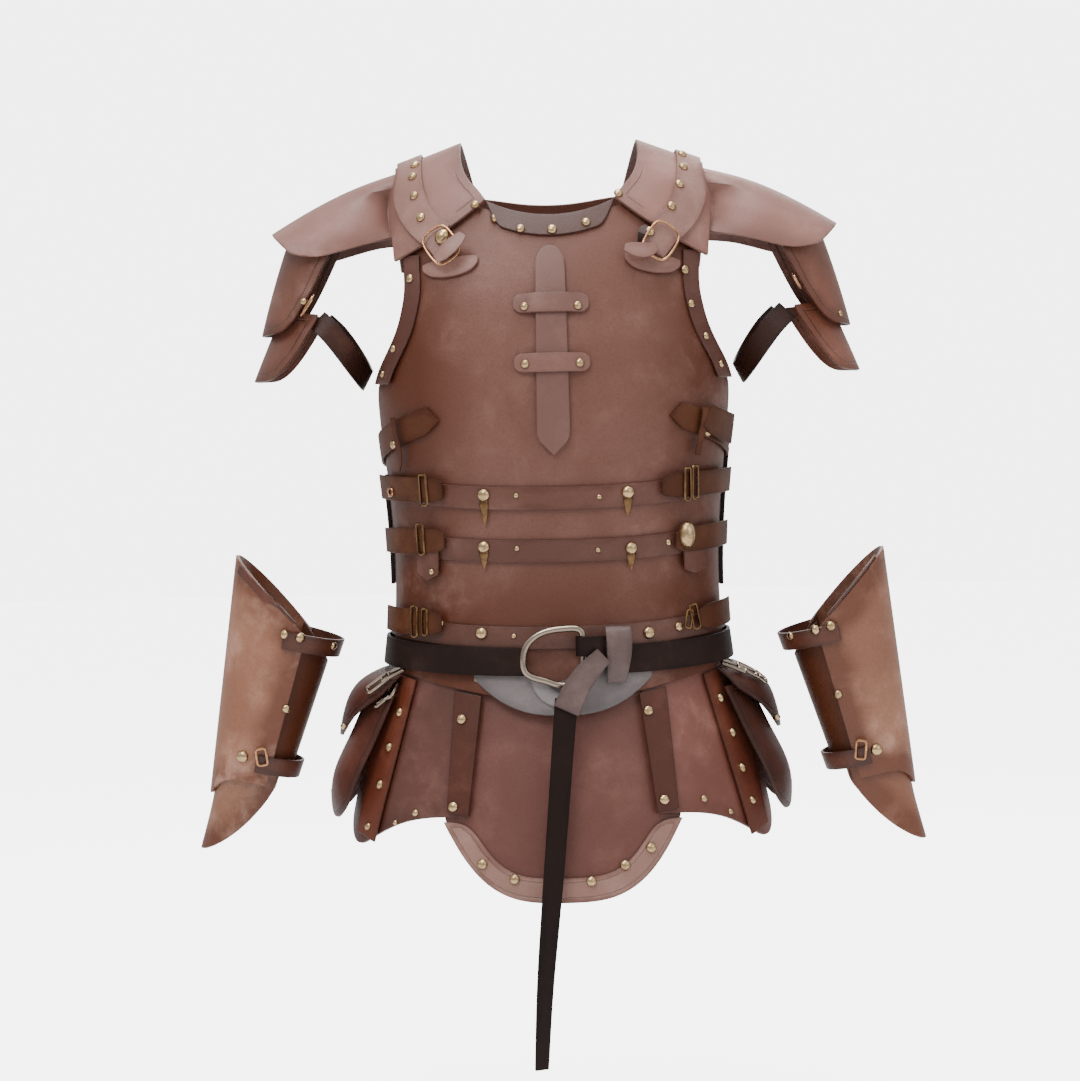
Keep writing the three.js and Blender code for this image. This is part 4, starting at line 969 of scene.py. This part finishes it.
class ARMOUR_OT_bracers(Piece):
    """Finish the bracers with their gussets, flaps and straps"""

    bl_idname = "armour.bracers"
    bl_label = "Bracers"
    cuts = ("bracer_*", "bracer_gusset_*", "bracer_flap_*", "bracer_strap_upper_*", "bracer_strap_lower_*")


class ARMOUR_OT_rivets(bpy.types.Operator):
    """Set the domed brass rivets"""

    bl_idname = "armour.rivets"
    bl_label = "Rivets"

    def execute(self, context):
        head = rivet_head()
        for node, places in RIVETS.items():
            made = []
            for x, y, z, width in places:
                point, normal = drawn_on(node, (x, y, z))
                made.append(copy_to(head, "rivet", point, normal, size=(width * MM,) * 3))
            ride_metal(join(made, f"rivets_{node}"), *metal_of("brass"))
        bpy.data.objects.remove(head)
        return {"FINISHED"}


class ARMOUR_OT_ring(bpy.types.Operator):
    """Finish the nickel ring and the copper shoulder buckles"""

    bl_idname = "armour.ring"
    bl_label = "Ring and buckles"

    def execute(self, context):
        solids = {"belt_ring": "steel", "shoulder_buckle_left": "copper", "shoulder_buckle_right": "copper"}
        for node, kind in solids.items():
            piece = copy_of_solid(node, "metal_" + node)
            smooth_skin(piece, METAL_LEVELS)
            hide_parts(node)
            ride_metal(piece, *metal_of(kind))
        return {"FINISHED"}


class ARMOUR_OT_small_straps(bpy.types.Operator):
    """Lay the band ends, keepers, buckle rolls and strap tails"""

    bl_idname = "armour.small_straps"
    bl_label = "Small straps"

    def execute(self, context):
        for name in STRIPS:
            lay_strip(name)
        return {"FINISHED"}


class ARMOUR_OT_claws(bpy.types.Operator):
    """Hang the bronze claws below the band studs"""

    bl_idname = "armour.claws"
    bl_label = "Claws"

    def execute(self, context):
        template = claw()
        made = []
        for node, x, y, z, length, width in CLAWS:
            point, normal = drawn_on(node, (x, y, z))
            size = (width * MM, length * MM, CLAW_THICK * MM)
            made.append(copy_to(template, "claw", point + normal * CLAW_LIFT * MM, normal, size=size))
        ride_metal(join(made, "band_claws"), *metal_of("bronze"))
        bpy.data.objects.remove(template)
        return {"FINISHED"}


class ARMOUR_OT_frames(bpy.types.Operator):
    """Set the wire frames of the buckles and the links at the hips"""

    bl_idname = "armour.frames"
    bl_label = "Buckle frames and links"

    def execute(self, context):
        for name, (kind, below, wire, corner, lift, places) in FRAMES.items():
            made = []
            for x, y, z, width, height, turn in places:
                point, normal = drawn_on(below, (x, y, z))
                template = wire_frame(width * MM, height * MM, wire * MM, corner * MM)
                place = point + normal * lift * MM
                made.append(copy_to(template, "frame", place, normal, math.radians(turn)))
                bpy.data.objects.remove(template)
            ride_metal(join(made, name), *metal_of(kind))
        return {"FINISHED"}


class ARMOUR_OT_bosses(bpy.types.Operator):
    """Set the larger round-topped bosses"""

    bl_idname = "armour.bosses"
    bl_label = "Bosses"

    def execute(self, context):
        head = rivet_head()
        for name, (kind, below, places) in BOSSES.items():
            made = []
            for x, y, z, width, height, rise, turn in places:
                point, normal = drawn_on(below, (x, y, z))
                size = (width * MM, height * MM, rise * 3 * MM)
                made.append(copy_to(head, "boss", point, normal, math.radians(turn), size))
            ride_metal(join(made, name), *metal_of(kind))
        bpy.data.objects.remove(head)
        return {"FINISHED"}


class ARMOUR_OT_stage(bpy.types.Operator):
    """Add the floor, the soft lights and the camera"""

    bl_idname = "armour.stage"
    bl_label = "Stage"

    def execute(self, context):
        _, _, stage = settings()
        low = CAD_BOX[0].z - FLOOR_DROP
        bpy.ops.mesh.primitive_plane_add(size=FLOOR_SIZE, location=(0, 0, low))
        floor = bpy.context.object
        floor.name = "floor"
        floor.data.transform(floor.matrix_world)
        floor.matrix_world = Matrix.Identity(4)
        material, t, shader = new_material("Pale floor")
        drift = t.between(t.noise(1.2), 0.3, 0.7)
        t.put(shader.inputs["Base Color"], t.mix(drift, rgba(stage.floor), rgba(stage.floor, 0.985)))
        t.put(shader.inputs["Roughness"], 0.9)
        t.put(shader.inputs["Emission Color"], (1, 1, 1, 1))
        seen = t.node("LightPath").outputs["Is Camera Ray"]
        t.put(shader.inputs["Emission Strength"], t.times(seen, stage.glow))
        floor.data.materials.append(material)

        world = context.scene.world or bpy.data.worlds.new("Studio")
        context.scene.world = world
        world.use_nodes = True
        sky = Tree(world.node_tree)
        shade = world.node_tree.nodes["Background"]
        sky.put(shade.inputs["Color"], (1, 1, 1, 1))
        way = sky.node("SeparateXYZ")
        sky.put(way.inputs[0], sky.node("TexCoord").outputs["Generated"])
        high = sky.between(way.outputs["Z"], -0.5, 0.9, 0.35 * stage.ambient, 1.9 * stage.ambient)
        seen = sky.node("LightPath").outputs["Is Camera Ray"]
        even = sky.times(seen, stage.glow + stage.ambient)
        rest = sky.times(sky.minus(1.0, seen), high)
        sky.put(shade.inputs["Strength"], sky.plus(even, rest))

        for name, place, size, power in LIGHTS:
            light = bpy.data.lights.new(name, "AREA")
            light.size = size
            light.energy = power
            lamp = new_piece(name, light)
            lamp.location = place
            lamp.rotation_euler = (LIT_MIDDLE - Vector(place)).to_track_quat("-Z", "Y").to_euler()

        camera = bpy.data.cameras.new("camera")
        camera.lens = stage.lens
        camera.sensor_width = 36
        eye = new_piece("camera", camera)
        back = Vector((0, -math.cos(CAMERA_RISE), math.sin(CAMERA_RISE)))
        level = (-back).to_track_quat("-Z", "Y").to_matrix()
        eye.matrix_world = (
            Matrix.Translation(LOOKED_AT + back * stage.distance)
            @ (level @ Matrix.Rotation(CAMERA_TILT, 3, "Z")).to_4x4())
        context.scene.camera = eye
        return {"FINISHED"}


class ARMOUR_PT_panel(bpy.types.Panel):
    """Lists the pieces and what may be changed"""

    bl_idname = "ARMOUR_PT_panel"
    bl_label = "Leather Armour"
    bl_space_type = "VIEW_3D"
    bl_region_type = "UI"
    bl_category = "Armour"

    def draw(self, context):
        for group in settings():
            box = self.layout.box()
            for key in group.__annotations__:
                box.prop(group, key)
        for operator in OPERATORS:
            self.layout.operator(operator.bl_idname)


GROUPS = (ArmourLeathers, ArmourEdges, ArmourStage)
OPERATORS = (
    ARMOUR_OT_stage, ARMOUR_OT_cuirass, ARMOUR_OT_shoulders, ARMOUR_OT_pauldrons, ARMOUR_OT_tongue,
    ARMOUR_OT_bands, ARMOUR_OT_belt, ARMOUR_OT_skirt, ARMOUR_OT_bracers, ARMOUR_OT_small_straps,
    ARMOUR_OT_ring, ARMOUR_OT_rivets, ARMOUR_OT_bosses, ARMOUR_OT_claws, ARMOUR_OT_frames,
)


def register():
    for cls in (*GROUPS, *OPERATORS, ARMOUR_PT_panel):
        bpy.utils.register_class(cls)
    bpy.types.Scene.armour_leathers = bpy.props.PointerProperty(type=ArmourLeathers)
    bpy.types.Scene.armour_edges = bpy.props.PointerProperty(type=ArmourEdges)
    bpy.types.Scene.armour_stage = bpy.props.PointerProperty(type=ArmourStage)


def unregister():
    for key in ("armour_leathers", "armour_edges", "armour_stage"):
        delattr(bpy.types.Scene, key)
    for cls in (ARMOUR_PT_panel, *reversed(OPERATORS), *reversed(GROUPS)):
        bpy.utils.unregister_class(cls)


def main():
    register()
    for operator in OPERATORS:
        space, name = operator.bl_idname.split(".")
        getattr(getattr(bpy.ops, space), name)()


if __name__ == "__main__":
    main()
